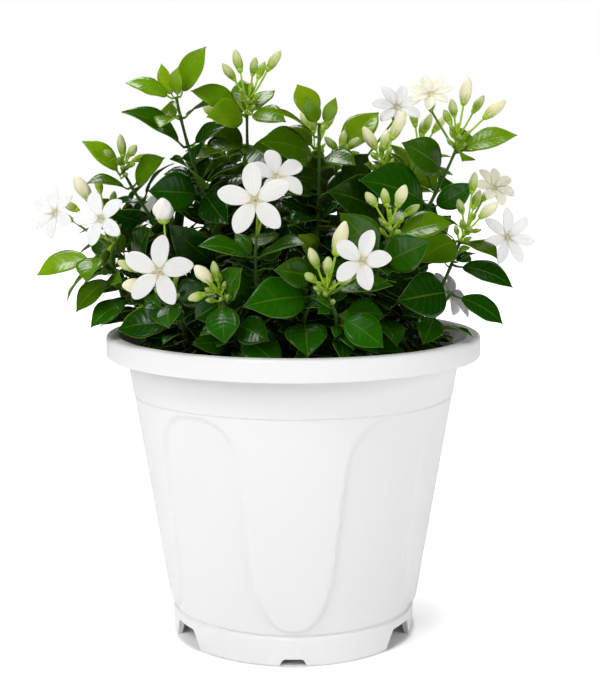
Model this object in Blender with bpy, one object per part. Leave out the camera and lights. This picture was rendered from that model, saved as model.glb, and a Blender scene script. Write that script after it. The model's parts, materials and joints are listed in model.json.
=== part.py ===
# A potted Arabian jasmine: white nursery pot, soil, leafy shoots, bud sprays and open blooms.
# Everything below is in millimetres, +Z up, with the origin on the pot's axis at the floor.
# A mesh is turned to metres when it is finished.

import itertools
import math
import random

import bmesh
import bpy
from mathutils import Vector
from mathutils.bvhtree import BVHTree

MM = 0.001
GAP = 0.3                    # clearance between pieces that touch

# The pot
RIM_RADIUS = 102.5
RIM_TOP = 167.2
RIM_BOTTOM = 155.7
RIM_INNER = 95.3
RIM_WALL = 2.2
RIM_ROUNDING = 2.4
BAND_TOP_RADIUS = 91.6       # the plain band under the rim
BAND_BOTTOM_RADIUS = 88.4
STEP_HEIGHT = 135.3          # the line where the band stands proud of the body
BAND_PROUD = 0.5
BODY_BOTTOM_RADIUS = 69.6
FOOT_HEIGHT = 18.1
FOOT_TOP_RADIUS = 68.0
FOOT_RADIUS = 67.2
FOOT_WALL = 2.6
WALL = 2.6
FLOOR_UNDERSIDE = 12.0
FLOOR_TOP = 14.6
RELIEF = 1.2                 # how deep the arched panels are pressed in
TONGUES = 5
RELIEF_EDGE = 0.9            # degrees over which a panel's edge slopes
TONGUE_OUTLINE = (           # height, half width in degrees of a raised tongue
    (20.9, 3.6), (24.0, 9.0), (33.0, 13.0), (58.0, 16.6),
    (118.0, 19.6), (130.5, 21.8), (134.2, 28.5),
)
NOTCHES = 6
SMALL_NOTCH = (10.4, 15.0, 4.0)      # width at its top, width at the floor, height
LARGE_NOTCH = (17.5, 29.0, 10.5)
DRAIN_HOLES = 5
DRAIN_RADIUS = 4.5
DRAIN_CIRCLE = 44.0

# The soil
SOIL_TOP = 150.0
SOIL_SIDES = 20
SOIL_CROWN = 1.0             # how much higher the middle is than the edge
SOIL_MIDDLE = 48.0           # radius of the higher middle
ROOT_DEPTH = 9.0

# The eye in front of the plant: places are read on the pot's mid plane as the eye sees them,
# and then slid along the line of sight to their depth.
EYE_DISTANCE = 706.0
EYE_HEIGHT = 264.0

# Stems and leaves
STEM_BASE = 1.7
STEM_TIP = 0.8
TWIG = 0.8
SPRAY_STALK = 0.8
STALK = 0.65                 # a bud's own stalk
BLADE = 0.7                  # thickness of leaves and petals
COLLAR = 0.9                 # height of the band on a stem that leaves grow from
SQUARE = 1.7                 # side of a stem's square section, in its radii
PETIOLE_START = 1.7          # how far off the stem's side a leaf stalk is clear of it
FULLEST_LEAF = 0.59          # the widest a leaf is for its length
LEAST_SHOWN = 0.3            # how much of a turned leaf's width must show for it to be read
UNSEEN_DEPTH = 40.0          # pieces farther back than this may be hidden by leaves
FINE_LEAF = ((0.14, 0.12), (0.34, 0.90), (0.60, 1.0), (0.85, 0.58), (1.0, 0.0))
PLAIN_LEAF = ((0.30, 0.86), (0.66, 0.86), (1.0, 0.0))
PETAL = ((0.34, 0.74), (0.68, 1.0), (1.0, 0.3))
LEAF_GUARD = ((0.05, 0.04), (0.16, 0.3), (0.36, 1.0), (0.62, 1.0), (0.84, 0.66), (1.03, 0.15))
TUBE_LENGTH = 10.0
TUBE_RADIUS = 1.3
THROAT_RADIUS = 2.1
CALYX_RADIUS = 1.7
CALYX_LENGTH = 3.0

# Each shoot: where it stands in the soil (x, y), then its nodes (x, height, depth) upwards.
SHOOTS = {
    "shoot_left_top": ((-30, 2), (
        (-40, 205, -8), (-49, 243, -16), (-57, 268, -18), (-61, 284, -18), (-63, 294, -18))),
    "shoot_top": ((-10, 14), ((-18, 205, -2), (-23, 240, -8), (-25, 268, -10), (-25, 285, -10))),
    "shoot_top_middle": ((10, -6), (
        (13, 205, -24), (14, 238, -26), (14, 262, -26), (14, 273, -26), (14, 280, -26))),
    "shoot_middle_right": ((28, 14), ((26, 210, 0), (24, 242, -4), (23, 262, -8))),
    "shoot_right_inner": ((38, -6), ((44, 205, -14), (49, 232, -16), (50, 254, -18))),
    "shoot_right_top": ((52, 8), ((62, 205, 0), (74, 236, -4), (83, 254, -6), (88, 266, -6))),
    "shoot_right": ((68, -4), ((80, 188, -16), (87, 204, -16), (91, 216, -14))),
    "shoot_right_low": ((64, -28), ((78, 176, -40), (87, 188, -42))),
    "shoot_centre_right": ((36, -30), ((42, 188, -48), (48, 206, -54), (53, 219, -54))),
    "shoot_front_right": ((24, -52), ((24, 176, -72), (19, 187, -76))),
    "shoot_front": ((2, -46), ((6, 174, -60), (11, 186, -66), (12, 197, -66))),
    "shoot_front_left": ((-26, -50), ((-34, 172, -68), (-38, 184, -72))),
    "shoot_left_low": ((-50, -38), ((-62, 172, -56), (-67, 184, -62))),
    "shoot_left": ((-66, -12), ((-80, 178, -24), (-89, 187, -28), (-98, 198, -30), (-107, 209, -30))),
    "shoot_left_middle": ((-58, 12), ((-72, 188, 2), (-86, 200, -4), (-97, 212, -10))),
    "shoot_left_high": ((-44, 20), ((-60, 205, 10), (-78, 230, 2), (-88, 246, -2), (-92, 254, -2))),
    "shoot_centre_left": ((-14, -28), ((-20, 192, -58), (-21, 208, -64), (-20, 219, -66))),
}

# The unseen side: angle round the pot, how far out it stands in the soil, reach and height.
BACK_SHOOTS = (
    (22, 70, 82, 174), (36, 60, 88, 258), (58, 70, 94, 214), (78, 40, 62, 258),
    (98, 68, 82, 238), (122, 46, 78, 268), (142, 70, 98, 218), (166, 74, 102, 236),
)

# Leaves that show: shoot, node, tip (x, height, depth), width, and how far the leaf faces
# outwards (1) and not upwards (0).
LEAVES = (
    ("shoot_left_top", 4, (-47, 321, -24), 12, 0.8),
    ("shoot_left_top", 4, (-90, 302, -24), 11, 0.5),
    ("shoot_left_top", 4, (-71, 312, -12), 7, 0.8),
    ("shoot_left_top", 4, (-62, 310, -30), 6, 0.8),
    ("shoot_left_top", 3, (-72, 278, -42), 9, 0.5),
    ("shoot_left_top", 2, (-92, 287, -34), 16, 0.7),
    ("shoot_left_top", 2, (-36, 279, -24), 14, 0.5),
    ("shoot_left_top", 1, (-79, 244, -34), 21, 0.9),
    ("shoot_left_top", 1, (-66, 262, -46), 15, 0.6),
    ("shoot_left_top", 1, (-36, 226, -40), 14, 0.8),
    ("shoot_left_top", 0, (-68, 226, -26), 16, 0.8),
    ("shoot_top", 3, (-55, 298, -20), 12, 0.6),
    ("shoot_top", 3, (-46, 284, -26), 12, 0.7),
    ("shoot_top", 2, (-48, 264, -30), 17, 0.8),
    ("shoot_top", 2, (-3, 254, -46), 14, 0.7),
    ("shoot_top", 3, (-4, 281, -26), 10, 0.5),
    ("shoot_top", 3, (-28, 304, -2), 11, 0.7),
    ("shoot_top", 3, (-10, 298, 2), 12, 0.7),
    ("shoot_top_middle", 4, (23, 294, -32), 7, 0.9),
    ("shoot_top_middle", 4, (7, 294, -36), 7, 0.9),
    ("shoot_top_middle", 4, (2, 301, -16), 12, 0.5),
    ("shoot_top_middle", 3, (-14, 287, -40), 11, 0.5),
    ("shoot_top_middle", 2, (-18, 271, -46), 14, 0.6),
    ("shoot_top_middle", 2, (34, 258, -44), 13, 0.6),
    ("shoot_middle_right", 2, (46, 286, -20), 14, 0.7),
    ("shoot_right_inner", 1, (20, 244, -52), 20, 0.8),
    ("shoot_right_top", 3, (121, 274, -12), 11, 0.6),
    ("shoot_right_top", 2, (59, 270, -26), 20, 0.9),
    ("shoot_right_top", 1, (98, 248, -14), 13, 0.6),
    ("shoot_right_top", 1, (36, 250, -48), 15, 0.5),
    ("shoot_right", 1, (121, 192, -24), 15, 0.5),
    ("shoot_right", 2, (67, 206, -40), 15, 0.6),
    ("shoot_right", 2, (112, 208, -34), 11, 0.4),
    ("shoot_right_low", 1, (116, 171, -46), 14, 0.5),
    ("shoot_right_low", 1, (58, 184, -66), 24, 0.8),
    ("shoot_right_low", 0, (72, 160, -62), 13, 0.5),
    ("shoot_centre_right", 2, (87, 227, -54), 13, 0.5),
    ("shoot_centre_right", 1, (74, 216, -70), 20, 0.8),
    ("shoot_centre_right", 1, (26, 232, -70), 17, 0.8),
    ("shoot_front_right", 0, (50, 158, -82), 18, 0.7),
    ("shoot_front_right", 0, (50, 176, -86), 15, 0.6),
    ("shoot_front_right", 1, (55, 193, -84), 13, 0.6),
    ("shoot_front", 1, (-27, 181, -88), 20, 0.7),
    ("shoot_front", 0, (8, 153, -84), 21, 0.8),
    ("shoot_front", 2, (-10, 201, -86), 14, 0.8),
    ("shoot_front_left", 1, (-38, 160, -84), 17, 0.9),
    ("shoot_front_left", 1, (-54, 174, -86), 15, 0.7),
    ("shoot_front_left", 1, (-28, 202, -88), 16, 0.8),
    ("shoot_front_left", 0, (-14, 162, -82), 16, 0.7),
    ("shoot_left_low", 1, (-69, 169, -80), 16, 0.9),
    ("shoot_left_low", 0, (-97, 168, -52), 15, 0.6),
    ("shoot_left_low", 1, (-48, 192, -82), 15, 0.7),
    ("shoot_left", 3, (-141, 198, -34), 14, 0.5),
    ("shoot_left", 2, (-120, 178, -36), 12, 0.6),
    ("shoot_left", 1, (-112, 169, -40), 13, 0.6),
    ("shoot_left", 3, (-114, 195, -50), 9, 0.6),
    ("shoot_left_middle", 1, (-78, 224, -32), 15, 0.7),
    ("shoot_left_high", 1, (-101, 234, -24), 13, 0.8),
    ("shoot_left_high", 3, (-114, 271, -8), 10, 0.7),
    ("shoot_left_high", 2, (-112, 249, -16), 10, 0.5),
    ("shoot_left_high", 2, (-70, 262, -20), 12, 0.7),
    ("shoot_centre_left", 1, (-52, 214, -76), 13, 0.4),
    ("shoot_centre_left", 1, (6, 216, -82), 15, 0.6),
    ("shoot_centre_left", 0, (-44, 196, -72), 15, 0.6),
)

# Bud sprays: shoot that carries it, fork (x, height, depth), then the buds
# (x, height, depth, length, radius).
SPRAYS = {
    "spray_top": ("shoot_top", (-24, 294, -12), (
        (-35, 308, -22, 11, 2.3), (-30, 314, -8, 12, 2.5), (-21, 311, -22, 10, 2.2),
        (-17, 309, -4, 10, 2.1), (-10, 314, -14, 12, 2.5))),
    "spray_left_high": ("shoot_left_high", (-92, 259, -4), (
        (-100, 264, -14, 9, 1.9), (-93, 269, -6, 12, 2.4), (-87, 266, -16, 11, 2.3),
        (-82, 262, 0, 9, 2.0))),
    "spray_left": ("shoot_left_middle", (-101, 224, -16), (
        (-115, 246, -22, 15, 3.6), (-106, 248, -2, 10, 2.2), (-122, 236, -14, 10, 2.4),
        (-98, 240, -8, 9, 2.0))),
    "spray_right_top": ("shoot_right_top", (89, 274, -8), (
        (93, 298, -14, 14, 3.2), (109, 288, -10, 14, 3.0), (100, 291, -2, 11, 2.3),
        (86, 289, -20, 11, 2.3), (83, 284, 2, 10, 2.1))),
    "spray_right_inner": ("shoot_right_inner", (48, 261, -20), (
        (41, 273, -26, 14, 2.9), (50, 272, -12, 13, 2.7), (57, 280, -22, 16, 3.0))),
    "spray_middle_right": ("shoot_middle_right", (26, 264, -12), (
        (33, 270, -22, 11, 2.2), (27, 272, -8, 11, 2.2), (20, 270, -16, 10, 2.1))),
    "spray_centre_right": ("shoot_centre_right", (53, 226, -56), (
        (42, 240, -64, 9, 2.4), (50, 241, -52, 9, 2.3), (59, 242, -64, 12, 3.0),
        (65, 234, -56, 9, 2.1))),
    "spray_right": ("shoot_right", (95, 224, -16), (
        (98, 249, -22, 11, 2.3), (100, 240, -8, 11, 2.3), (107, 234, -18, 12, 3.1),
        (91, 236, -26, 10, 2.1))),
    "spray_front_right": ("shoot_front_right", (18, 191, -78), (
        (11, 208, -88, 12, 2.5), (19, 204, -92, 12, 2.4), (26, 219, -80, 17, 3.6),
        (9, 197, -92, 10, 2.1), (29, 196, -92, 10, 2.2))),
    "spray_front_left": ("shoot_front_left", (-41, 190, -76), (
        (-50, 199, -86, 14, 3.2), (-54, 186, -88, 10, 2.2), (-43, 201, -80, 10, 2.1))),
}

# Open blooms: shoot and node that carry it, throat (x, height, depth), facing direction,
# first petal's angle, petals, petal length, petal width.
BLOOMS = {
    "bloom_left": ("shoot_left_low", 1, (-74, 200, -78), (-0.2, -0.95, 0.2), 12, 5, 18, 9.5),
    "bloom_centre": ("shoot_centre_left", 2, (-21, 239, -88), (-0.1, -0.97, 0.2), 25, 5, 18, 9.5),
    "bloom_centre_back": ("shoot_centre_left", 2, (-9, 252, -68), (0.3, -0.75, 0.6), 22, 5, 15, 8.5),
    "bloom_far_left": ("shoot_left_middle", 2, (-105, 229, -50), (-0.3, -0.93, 0.2), 38, 5, 14.5, 7.5),
    "bloom_turned": ("shoot_left_middle", 2, (-130, 232, -30), (-0.5, -0.75, 0.3), 40, 6, 14, 7),
    "bloom_front_right": ("shoot_front_right", 1, (38, 206, -98), (-0.4, -0.88, 0.25), 4, 5, 15, 8.5),
    "bloom_far_right": ("shoot_right", 2, (117, 219, 4), (0.3, -0.94, 0.15), 348, 7, 16, 6.5),
    "bloom_pale": ("shoot_middle_right", 1, (56, 289, 16), (0.05, -0.85, 0.5), 20, 7, 14, 6.5),
    "bloom_upright": ("shoot_right_top", 3, (74, 296, 6), (-0.1, -0.75, 0.65), 10, 7, 12, 6),
    "bloom_yellow": ("shoot_right", 2, (109, 246, 10), (0.35, -0.75, 0.55), 20, 7, 12, 6),
}

# Blooms and bud sprays on the unseen side: shoot number, and the bloom's petals or none.
BACK_BLOOMS = ((0, 6), (2, 5), (4, 6), (6, 5))
BACK_SPRAYS = (1, 3, 5)

LEAF_SPACING = 21.5
CROWN_SIDE = 128.0
CROWN_DEPTH = 104.0
CROWN_TOP = 296.0
SEED = 11


def seen_at(x, z, depth):
    """The point at this depth that shows at x, z on the pot's mid plane."""
    reach = 1 + depth / EYE_DISTANCE
    return Vector((x * reach, depth, EYE_HEIGHT + (z - EYE_HEIGHT) * reach))


def shown_at(point):
    """Where a point shows on the pot's mid plane."""
    reach = 1 + point.y / EYE_DISTANCE
    return Vector((point.x / reach, EYE_HEIGHT + (point.z - EYE_HEIGHT) / reach))


def square_to(direction, axis):
    """The unit part of a direction that is square to an axis."""
    return (direction - axis * direction.dot(axis)).normalized()


# Meshes

def skin(bm, lower, upper):
    """Triangles between two rings of four, split alike on a blade's two faces."""
    for corners in ((0, 1, 5), (0, 5, 4), (1, 2, 6), (1, 6, 5), (2, 3, 6), (3, 7, 6), (3, 0, 4), (3, 4, 7)):
        verts = [(lower + upper)[i] for i in corners]
        if len(set(verts)) == 3:
            bm.faces.new(verts)


def grow_limb(bm, ring, sections):
    """Carries a ring of four on through sections, which may end in an edge or a point."""
    for section in sections:
        made = [bm.verts.new(point) for point in section]
        upper = {1: made * 4, 2: [made[0], made[0], made[-1], made[-1]]}.get(len(made), made)
        skin(bm, ring, upper)
        ring = upper
    if len(set(ring)) == 4:
        bm.faces.new(ring)


def nearest_turn(ring, section):
    """The ring of four, started at the corner that twists least on its way to a section."""
    places = [v.co if isinstance(v, bmesh.types.BMVert) else v for v in ring]
    centre = sum(places, Vector()) / 4
    middle = sum(section, Vector()) / len(section)
    goals = [(p - middle).normalized() for p in section]

    def twist(start):
        return sum(((places[(start + i) % 4] - centre).normalized() - goals[i]).length for i in range(4))

    start = min(range(4), key=twist)
    return [ring[(start + i) % 4] for i in range(4)]


def limb_mesh(sections):
    """A closed mesh through sections of four points."""
    bm = bmesh.new()
    ring = [bm.verts.new(point) for point in sections[0]]
    bm.faces.new(ring[::-1])
    grow_limb(bm, ring, sections[1:])
    return bm


def tube_rings(points, radii, sides, side):
    """Points of the rings of a tube; the first direction is carried along without twist."""
    rings = []
    for i, (point, radius) in enumerate(zip(points, radii)):
        before = points[max(i - 1, 0)]
        after = points[min(i + 1, len(points) - 1)]
        axis = (after - before).normalized()
        side = square_to(side, axis)
        other = axis.cross(side)
        turns = [2 * math.pi * (k - 0.5) / sides for k in range(sides)]
        rings.append([point + (side * math.cos(a) + other * math.sin(a)) * radius for a in turns])
    return rings


def tube_mesh(points, radii, sides):
    """A closed tube through points; a last radius of 0 closes it to a point."""
    bm = bmesh.new()
    side = square_to(Vector((0.3, 1.0, 0.1)), (points[1] - points[0]).normalized())
    pointed = radii[-1] == 0
    rings = tube_rings(points, radii, sides, side)
    made = [[bm.verts.new(p) for p in ring] for ring in (rings[:-1] if pointed else rings)]
    for lower, upper in zip(made, made[1:]):
        for k in range(sides):
            after = (k + 1) % sides
            bm.faces.new((lower[k], lower[after], upper[after], upper[k]))
    bm.faces.new(made[0][::-1])
    if pointed:
        tip = bm.verts.new(points[-1])
        for k in range(sides):
            bm.faces.new((made[-1][k], made[-1][(k + 1) % sides], tip))
    else:
        bm.faces.new(made[-1])
    return bm


# Growth: what stands where. Guards are slightly swollen stand-ins that keep pieces apart.

class Leaf:
    """A leaf or petal: its root, tip, width, the direction it faces and its arch."""

    def __init__(self, root, tip, width, face, arch):
        self.along = (tip - root).normalized()
        self.root = root
        self.tip = tip
        self.length = (tip - root).length
        self.width = width
        self.face = square_to(face, self.along)
        self.side = self.along.cross(self.face)
        self.arch = arch

    def point(self, share, across):
        """A point on the middle surface: share of the length, and -1 to 1 across."""
        middle = self.root.lerp(self.tip, share)
        middle += self.face * (self.arch * self.length * 4 * share * (1 - share))
        return middle + self.side * (self.width / 2 * across)

    def sections(self, stations, thickness=BLADE, wider=0.0):
        """Four corners at each station, or two where the blade closes to its tip."""
        up = self.face * thickness / 2
        grow = 1 + wider * 2 / self.width
        made = []
        for share, half in stations:
            right = self.point(share, half * grow)
            left = self.point(share, -half * grow)
            made.append([right - up, left - up, left + up, right + up] if half else [right - up, right + up])
        return made

    def guard(self, spare=1.0):
        """A swollen blade from just past the root to the tip."""
        return limb_mesh(self.sections(LEAF_GUARD, BLADE + 1.2 * spare, spare))


class Crown:
    """Keeps the pieces of the plant clear of each other and the seen ones in view."""

    def __init__(self):
        self.guards = []
        self.views = []

    def is_clear(self, bm):
        """Whether a swollen mesh crosses nothing that already stands."""
        low, high = box_of(bm)
        tree = BVHTree.FromBMesh(bm)
        for other, other_low, other_high in self.guards:
            if all(low[k] < other_high[k] and other_low[k] < high[k] for k in range(3)):
                if tree.overlap(other):
                    return False
        return True

    def keep(self, bm):
        """Adds a guard."""
        low, high = box_of(bm)
        self.guards.append((BVHTree.FromBMesh(bm), low, high))

    def hides_a_seen_piece(self, leaf):
        """Whether a leaf stands in front of a piece that the eye sees."""
        for share in (0.2, 0.4, 0.6, 0.8, 1.0):
            for across in (-1, 0, 1):
                point = leaf.point(share, across)
                place = shown_at(point)
                for centre, radius, depth in self.views:
                    if point.y < depth and (place - centre).length < radius:
                        return True
        return False

    def watch(self, point, radius):
        """Keeps the view of a point free, unless it is on the far side."""
        if point.y < UNSEEN_DEPTH:
            self.views.append((shown_at(point), radius, point.y))


def box_of(bm):
    """Lowest and highest corners of a mesh."""
    low = Vector(min(v.co[k] for v in bm.verts) for k in range(3))
    high = Vector(max(v.co[k] for v in bm.verts) for k in range(3))
    return low, high


def outward(point):
    """Level direction from the pot's axis to a point."""
    flat = Vector((point.x, point.y, 0))
    return flat.normalized() if flat.length > 1 else Vector((0, -1, 0))


def stem_points(name):
    """A shoot's stem: straight up out of its hole, then through its nodes."""
    if name in SHOOTS:
        (x, y), nodes = SHOOTS[name]
        upper = [seen_at(*node) for node in nodes]
    else:
        angle, standing, reach, height = BACK_SHOOTS[int(name[-1])]
        out = Vector((math.cos(math.radians(angle)), math.sin(math.radians(angle)), 0))
        x, y = (out * standing).xy
        lean = reach - standing
        upper = []
        for share in (0.35, 0.7, 1.0):
            level = out * (standing + lean * share ** 1.3)
            upper.append(level + Vector((0, 0, SOIL_TOP + (height - SOIL_TOP) * share)))
    foot = Vector((x, y, SOIL_TOP - ROOT_DEPTH))
    return [foot, Vector((x, y, SOIL_TOP + 5))] + upper


def stem_radii(points):
    """Radius of a stem at each of its points."""
    last = len(points) - 1
    return [STEM_BASE + (STEM_TIP - STEM_BASE) * i / last for i in range(last + 1)]


def bud_sections(fork, base, tip, radius):
    """A bud on its stalk: narrow stalk, full middle, pointed end."""
    heading = (tip - fork).normalized()
    path = [fork + heading * 1.2, base, base.lerp(tip, 0.40), base.lerp(tip, 0.76)]
    side = square_to(Vector((0, 0, 1)), heading)
    rings = tube_rings(path, (STALK, STALK * 1.3, radius * 1.15, radius * 0.85), 4, side)
    return rings + [[tip]]


def path_length(points):
    """Length of a path of straight runs."""
    return sum((b - a).length for a, b in zip(points, points[1:]))


def along_path(points, distance):
    """The point and direction this far along a path."""
    for a, b in zip(points, points[1:]):
        length = (b - a).length
        if distance <= length:
            return a.lerp(b, distance / length), (b - a).normalized()
        distance -= length
    return points[-1].copy(), (points[-1] - points[-2]).normalized()


class Plant:
    """Every stem, twig, bud, petal and leaf, grown in a fixed order."""

    def __init__(self):
        self.crown = Crown()
        self.draw = random.Random(SEED)
        self.stems = {name: stem_points(name) for name in self.shoot_names()}
        self.growths = {name: [] for name in self.stems}
        self.sprays = {}
        self.tops = {}
        self.blooms = {}
        self.dropped = []
        self.leaf_count = 0
        self.guard_the_pot()
        for name, points in self.stems.items():
            self.crown.keep(tube_mesh(points[1:], [r + 0.5 for r in stem_radii(points)[1:]], 5))
        self.grow_sprays()
        self.grow_blooms()
        self.grow_seen_leaves()
        self.grow_other_leaves()

    def shoot_names(self):
        return list(SHOOTS) + [f"shoot_back_{i}" for i in range(len(BACK_SHOOTS))]

    def guard_the_pot(self):
        """The rim and the soil, as far as leaves could reach them, grown by a spare millimetre."""
        sides = 24
        spare = 1.0
        section = (
            (RIM_RADIUS + spare, RIM_BOTTOM - spare), (RIM_RADIUS + spare, RIM_TOP + spare),
            (RIM_INNER - spare, RIM_TOP + spare), (inner_radius(RIM_BOTTOM) - spare, RIM_BOTTOM),
            (inner_radius(SOIL_TOP) - spare, SOIL_TOP))
        for (lower, low), (upper, high) in zip(section, section[1:]):
            bm = bmesh.new()
            bmesh.ops.create_cone(bm, segments=sides, radius1=lower, radius2=upper, depth=high - low)
            bmesh.ops.translate(bm, verts=bm.verts, vec=(0, 0, (low + high) / 2))
            self.crown.keep(bm)
        bm = bmesh.new()
        bmesh.ops.create_circle(bm, cap_ends=True, segments=sides, radius=RIM_INNER)
        bmesh.ops.translate(bm, verts=bm.verts, vec=(0, 0, SOIL_TOP + SOIL_CROWN + 2))
        self.crown.keep(bm)

    def grow_sprays(self):
        """The bud sprays, each on the end of its shoot."""
        for name, (shoot, fork, buds) in SPRAYS.items():
            self.add_spray(name, shoot, seen_at(*fork), [(seen_at(*bud[:3]), *bud[3:]) for bud in buds])
        for index in BACK_SPRAYS:
            shoot = f"shoot_back_{index}"
            end, heading = along_path(self.stems[shoot], 999)
            fork = end + heading * 9
            side = square_to(Vector((0, 0, 1)), heading)
            other = heading.cross(side)
            buds = []
            for k in range(4):
                turn = 2 * math.pi * k / 4 + index
                spread = side * math.cos(turn) + other * math.sin(turn)
                buds.append((fork + heading * (15 + 3 * (k % 2)) + spread * 8, 11 + k % 3, 2.4))
            self.add_spray(f"spray_back_{index}", shoot, fork, buds)

    def add_spray(self, name, shoot, fork, buds):
        """A stalk that ends in one bud, with the others in pairs on its sides."""
        end, rising = along_path(self.stems[shoot], 999)
        foot = end + rising * GAP
        points = [foot, foot + rising * 1.5, fork]
        axis = (fork - points[1]).normalized()
        length = path_length(points)
        growths = []
        waiting = sorted(buds, key=lambda bud: -(bud[0] - fork).normalized().dot(axis))
        self.add_bud(growths, None, fork, axis, waiting.pop(0))
        level = 0
        while waiting:
            first = waiting.pop(0)
            pair = [first]
            if waiting:
                spot = square_to(first[0] - fork, axis)
                partner = min(waiting, key=lambda bud: square_to(bud[0] - fork, axis).dot(spot))
                waiting.remove(partner)
                pair.append(partner)
            for bud in pair:
                place = min(level * 2.4, length - 4)
                self.add_bud(growths, length - place, fork - axis * place, axis, bud)
            level += 1
        self.crown.keep(tube_mesh([end + rising * 0.3, points[1], fork], (1.3, 1.4, 1.4), 4))
        stalk = tube_mesh(points, (SPRAY_STALK * 1.2 + GAP,) * 3, 4)
        self.tops[shoot] = [BVHTree.FromBMesh(stalk)] + [BVHTree.FromBMesh(limb_mesh(g[2])) for g in growths]
        self.sprays[name] = (points, growths)

    def add_bud(self, growths, distance, start, axis, bud):
        """One bud on its own stalk."""
        centre, length, radius = bud
        heading = (centre - start).normalized()
        base = centre - heading * length / 2
        tip = centre + heading * length / 2
        if distance is not None:
            start = start + square_to(heading, axis) * (SPRAY_STALK + 0.7)
            heading = (centre - start).normalized()
        growths.append((distance, heading, bud_sections(start, base, tip, radius)))
        swollen = [start.lerp(base, 0.3)] + [base.lerp(tip, share) for share in (0, 0.4, 0.76, 1.05)]
        self.crown.keep(tube_mesh(swollen, (1.3, 1.6, radius + 1.2, radius + 0.9, 0.4), 5))
        self.crown.watch(centre, radius + 3)

    def grow_blooms(self):
        """The open blooms, each on a twig of its shoot with a calyx at its end."""
        for name, (shoot, node, throat, facing, first, petals, length, width) in BLOOMS.items():
            distance = path_length(self.stems[shoot][:node + 3])
            self.add_bloom(name, shoot, distance, seen_at(*throat), Vector(facing).normalized(),
                           first, petals, length, width)
        for index, petals in BACK_BLOOMS:
            shoot = f"shoot_back_{index}"
            end, heading = along_path(self.stems[shoot], 999)
            facing = (outward(end) + heading * 0.6 + Vector((0, 0, 0.2))).normalized()
            throat = end + facing * (TUBE_LENGTH + 8)
            self.add_bloom(f"bloom_back_{index}", shoot, 999, throat, facing, 20 * index, petals,
                           16, 50 / petals)

    def add_bloom(self, name, shoot, distance, throat, facing, first, count, length, width):
        """A tube with petals round its throat."""
        start, rising = along_path(self.stems[shoot], distance)
        across = Vector((0, 0, 1)).cross(facing).normalized()
        upward = facing.cross(across)
        foot = throat - facing * TUBE_LENGTH
        end = foot - facing * GAP
        calyx = end - facing * CALYX_LENGTH
        start = start + square_to(calyx - start, rising) * STEM_TIP
        path = [start, start.lerp(calyx, 0.25), start.lerp(calyx, 0.6), calyx, end]
        side = square_to(Vector((0, 0, 1)), (calyx - start).normalized())
        sections = tube_rings(path, (TWIG, TWIG, TWIG, TWIG, CALYX_RADIUS), 4, side)[1:]
        self.growths[shoot].append((distance, (calyx - start).normalized(), sections))
        self.crown.keep(tube_mesh([start.lerp(calyx, 0.12), calyx, end], (1.4, 1.4, 2.2), 4))
        self.crown.keep(tube_mesh([foot, throat], (TUBE_RADIUS + 0.6, THROAT_RADIUS + 0.6), 5))
        petals = []
        for k in range(count):
            angle = math.radians(first + 360 * k / count)
            direction = across * math.cos(angle) + upward * math.sin(angle)
            root = throat + direction * THROAT_RADIUS * 0.6 - facing * COLLAR / 2
            tip = throat + direction * length + facing * (1.5 if k % 2 else 2.5)
            petal = Leaf(root, tip, width, facing, 0.06)
            petals.append(petal)
            self.crown.keep(petal.guard(0.8))
        self.crown.watch(throat, length + 2)
        self.blooms[name] = (foot, throat, facing, petals)

    def grow_seen_leaves(self):
        """Leaves read from the front, shifted a little where they would cross."""
        seen = []
        shifts = [0]
        for step in (4, 8, 12, 16, 22, 28):
            shifts += [step, -step]
        for shoot, node, tip, width, lean in LEAVES:
            root = self.stems[shoot][node + 2]
            distance = path_length(self.stems[shoot][:node + 3])
            heading = along_path(self.stems[shoot], distance)[1]
            for shrink, shift, turn in itertools.product((1, 0.85, 0.7), shifts, (0, 0.25, -0.25)):
                end = seen_at(tip[0], tip[1], tip[2] + shift)
                end = root.lerp(end, shrink)
                facing = self.seen_face(root, end, lean + turn)
                start = root + square_to(end - root, heading) * (STEM_TIP + PETIOLE_START)
                leaf = Leaf(start, end, width * shrink, facing, 0.09)
                leaf.width = self.true_width(leaf)
                if self.crown.is_clear(leaf.guard()):
                    self.take(shoot, distance, leaf, FINE_LEAF)
                    seen.append(leaf)
                    break
            else:
                self.dropped.append((shoot, node, tip))
        for leaf in seen:
            for share in (0.35, 0.6, 0.85):
                self.crown.watch(leaf.point(share, 0), leaf.width / 2)

    def true_width(self, leaf):
        """The width of a turned leaf that shows as wide as it was read."""
        sight = (leaf.point(0.5, 0) - Vector((0, -EYE_DISTANCE, EYE_HEIGHT))).normalized()
        shown = max(abs(leaf.face.dot(sight)), LEAST_SHOWN)
        return max(min(leaf.width / shown, leaf.length * FULLEST_LEAF), leaf.width)

    def seen_face(self, root, end, lean):
        """A seen leaf faces up, outwards and towards the eye."""
        middle = root.lerp(end, 0.5)
        forward = outward(middle) * 0.35 + Vector((0, -0.65, 0))
        return Vector((0, 0, 1)) * (1 - lean) + forward * lean

    def leaf_face(self, root, end, lean):
        """An unseen leaf faces up and outwards."""
        middle = root.lerp(end, 0.5)
        return Vector((0, 0, 1)) * (1 - lean) + outward(middle) * lean

    def take(self, shoot, distance, leaf, stations):
        self.crown.keep(leaf.guard())
        self.growths[shoot].append((distance, leaf.along, leaf.sections(stations)))
        self.leaf_count += 1

    def grow_other_leaves(self):
        """Opposite pairs up every stem, each pair turned a quarter from the last."""
        for shoot, points in self.stems.items():
            length = path_length(points)
            distance = ROOT_DEPTH + 11
            quarter = self.draw.uniform(0, math.pi)
            while distance < length:
                root, heading = along_path(points, distance)
                older = 1 - distance / length
                for half in (0, math.pi):
                    self.try_leaf(shoot, distance, root, heading, quarter + half, older)
                quarter += math.pi / 2 + self.draw.uniform(-0.2, 0.2)
                distance += LEAF_SPACING * self.draw.uniform(0.85, 1.15)

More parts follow.
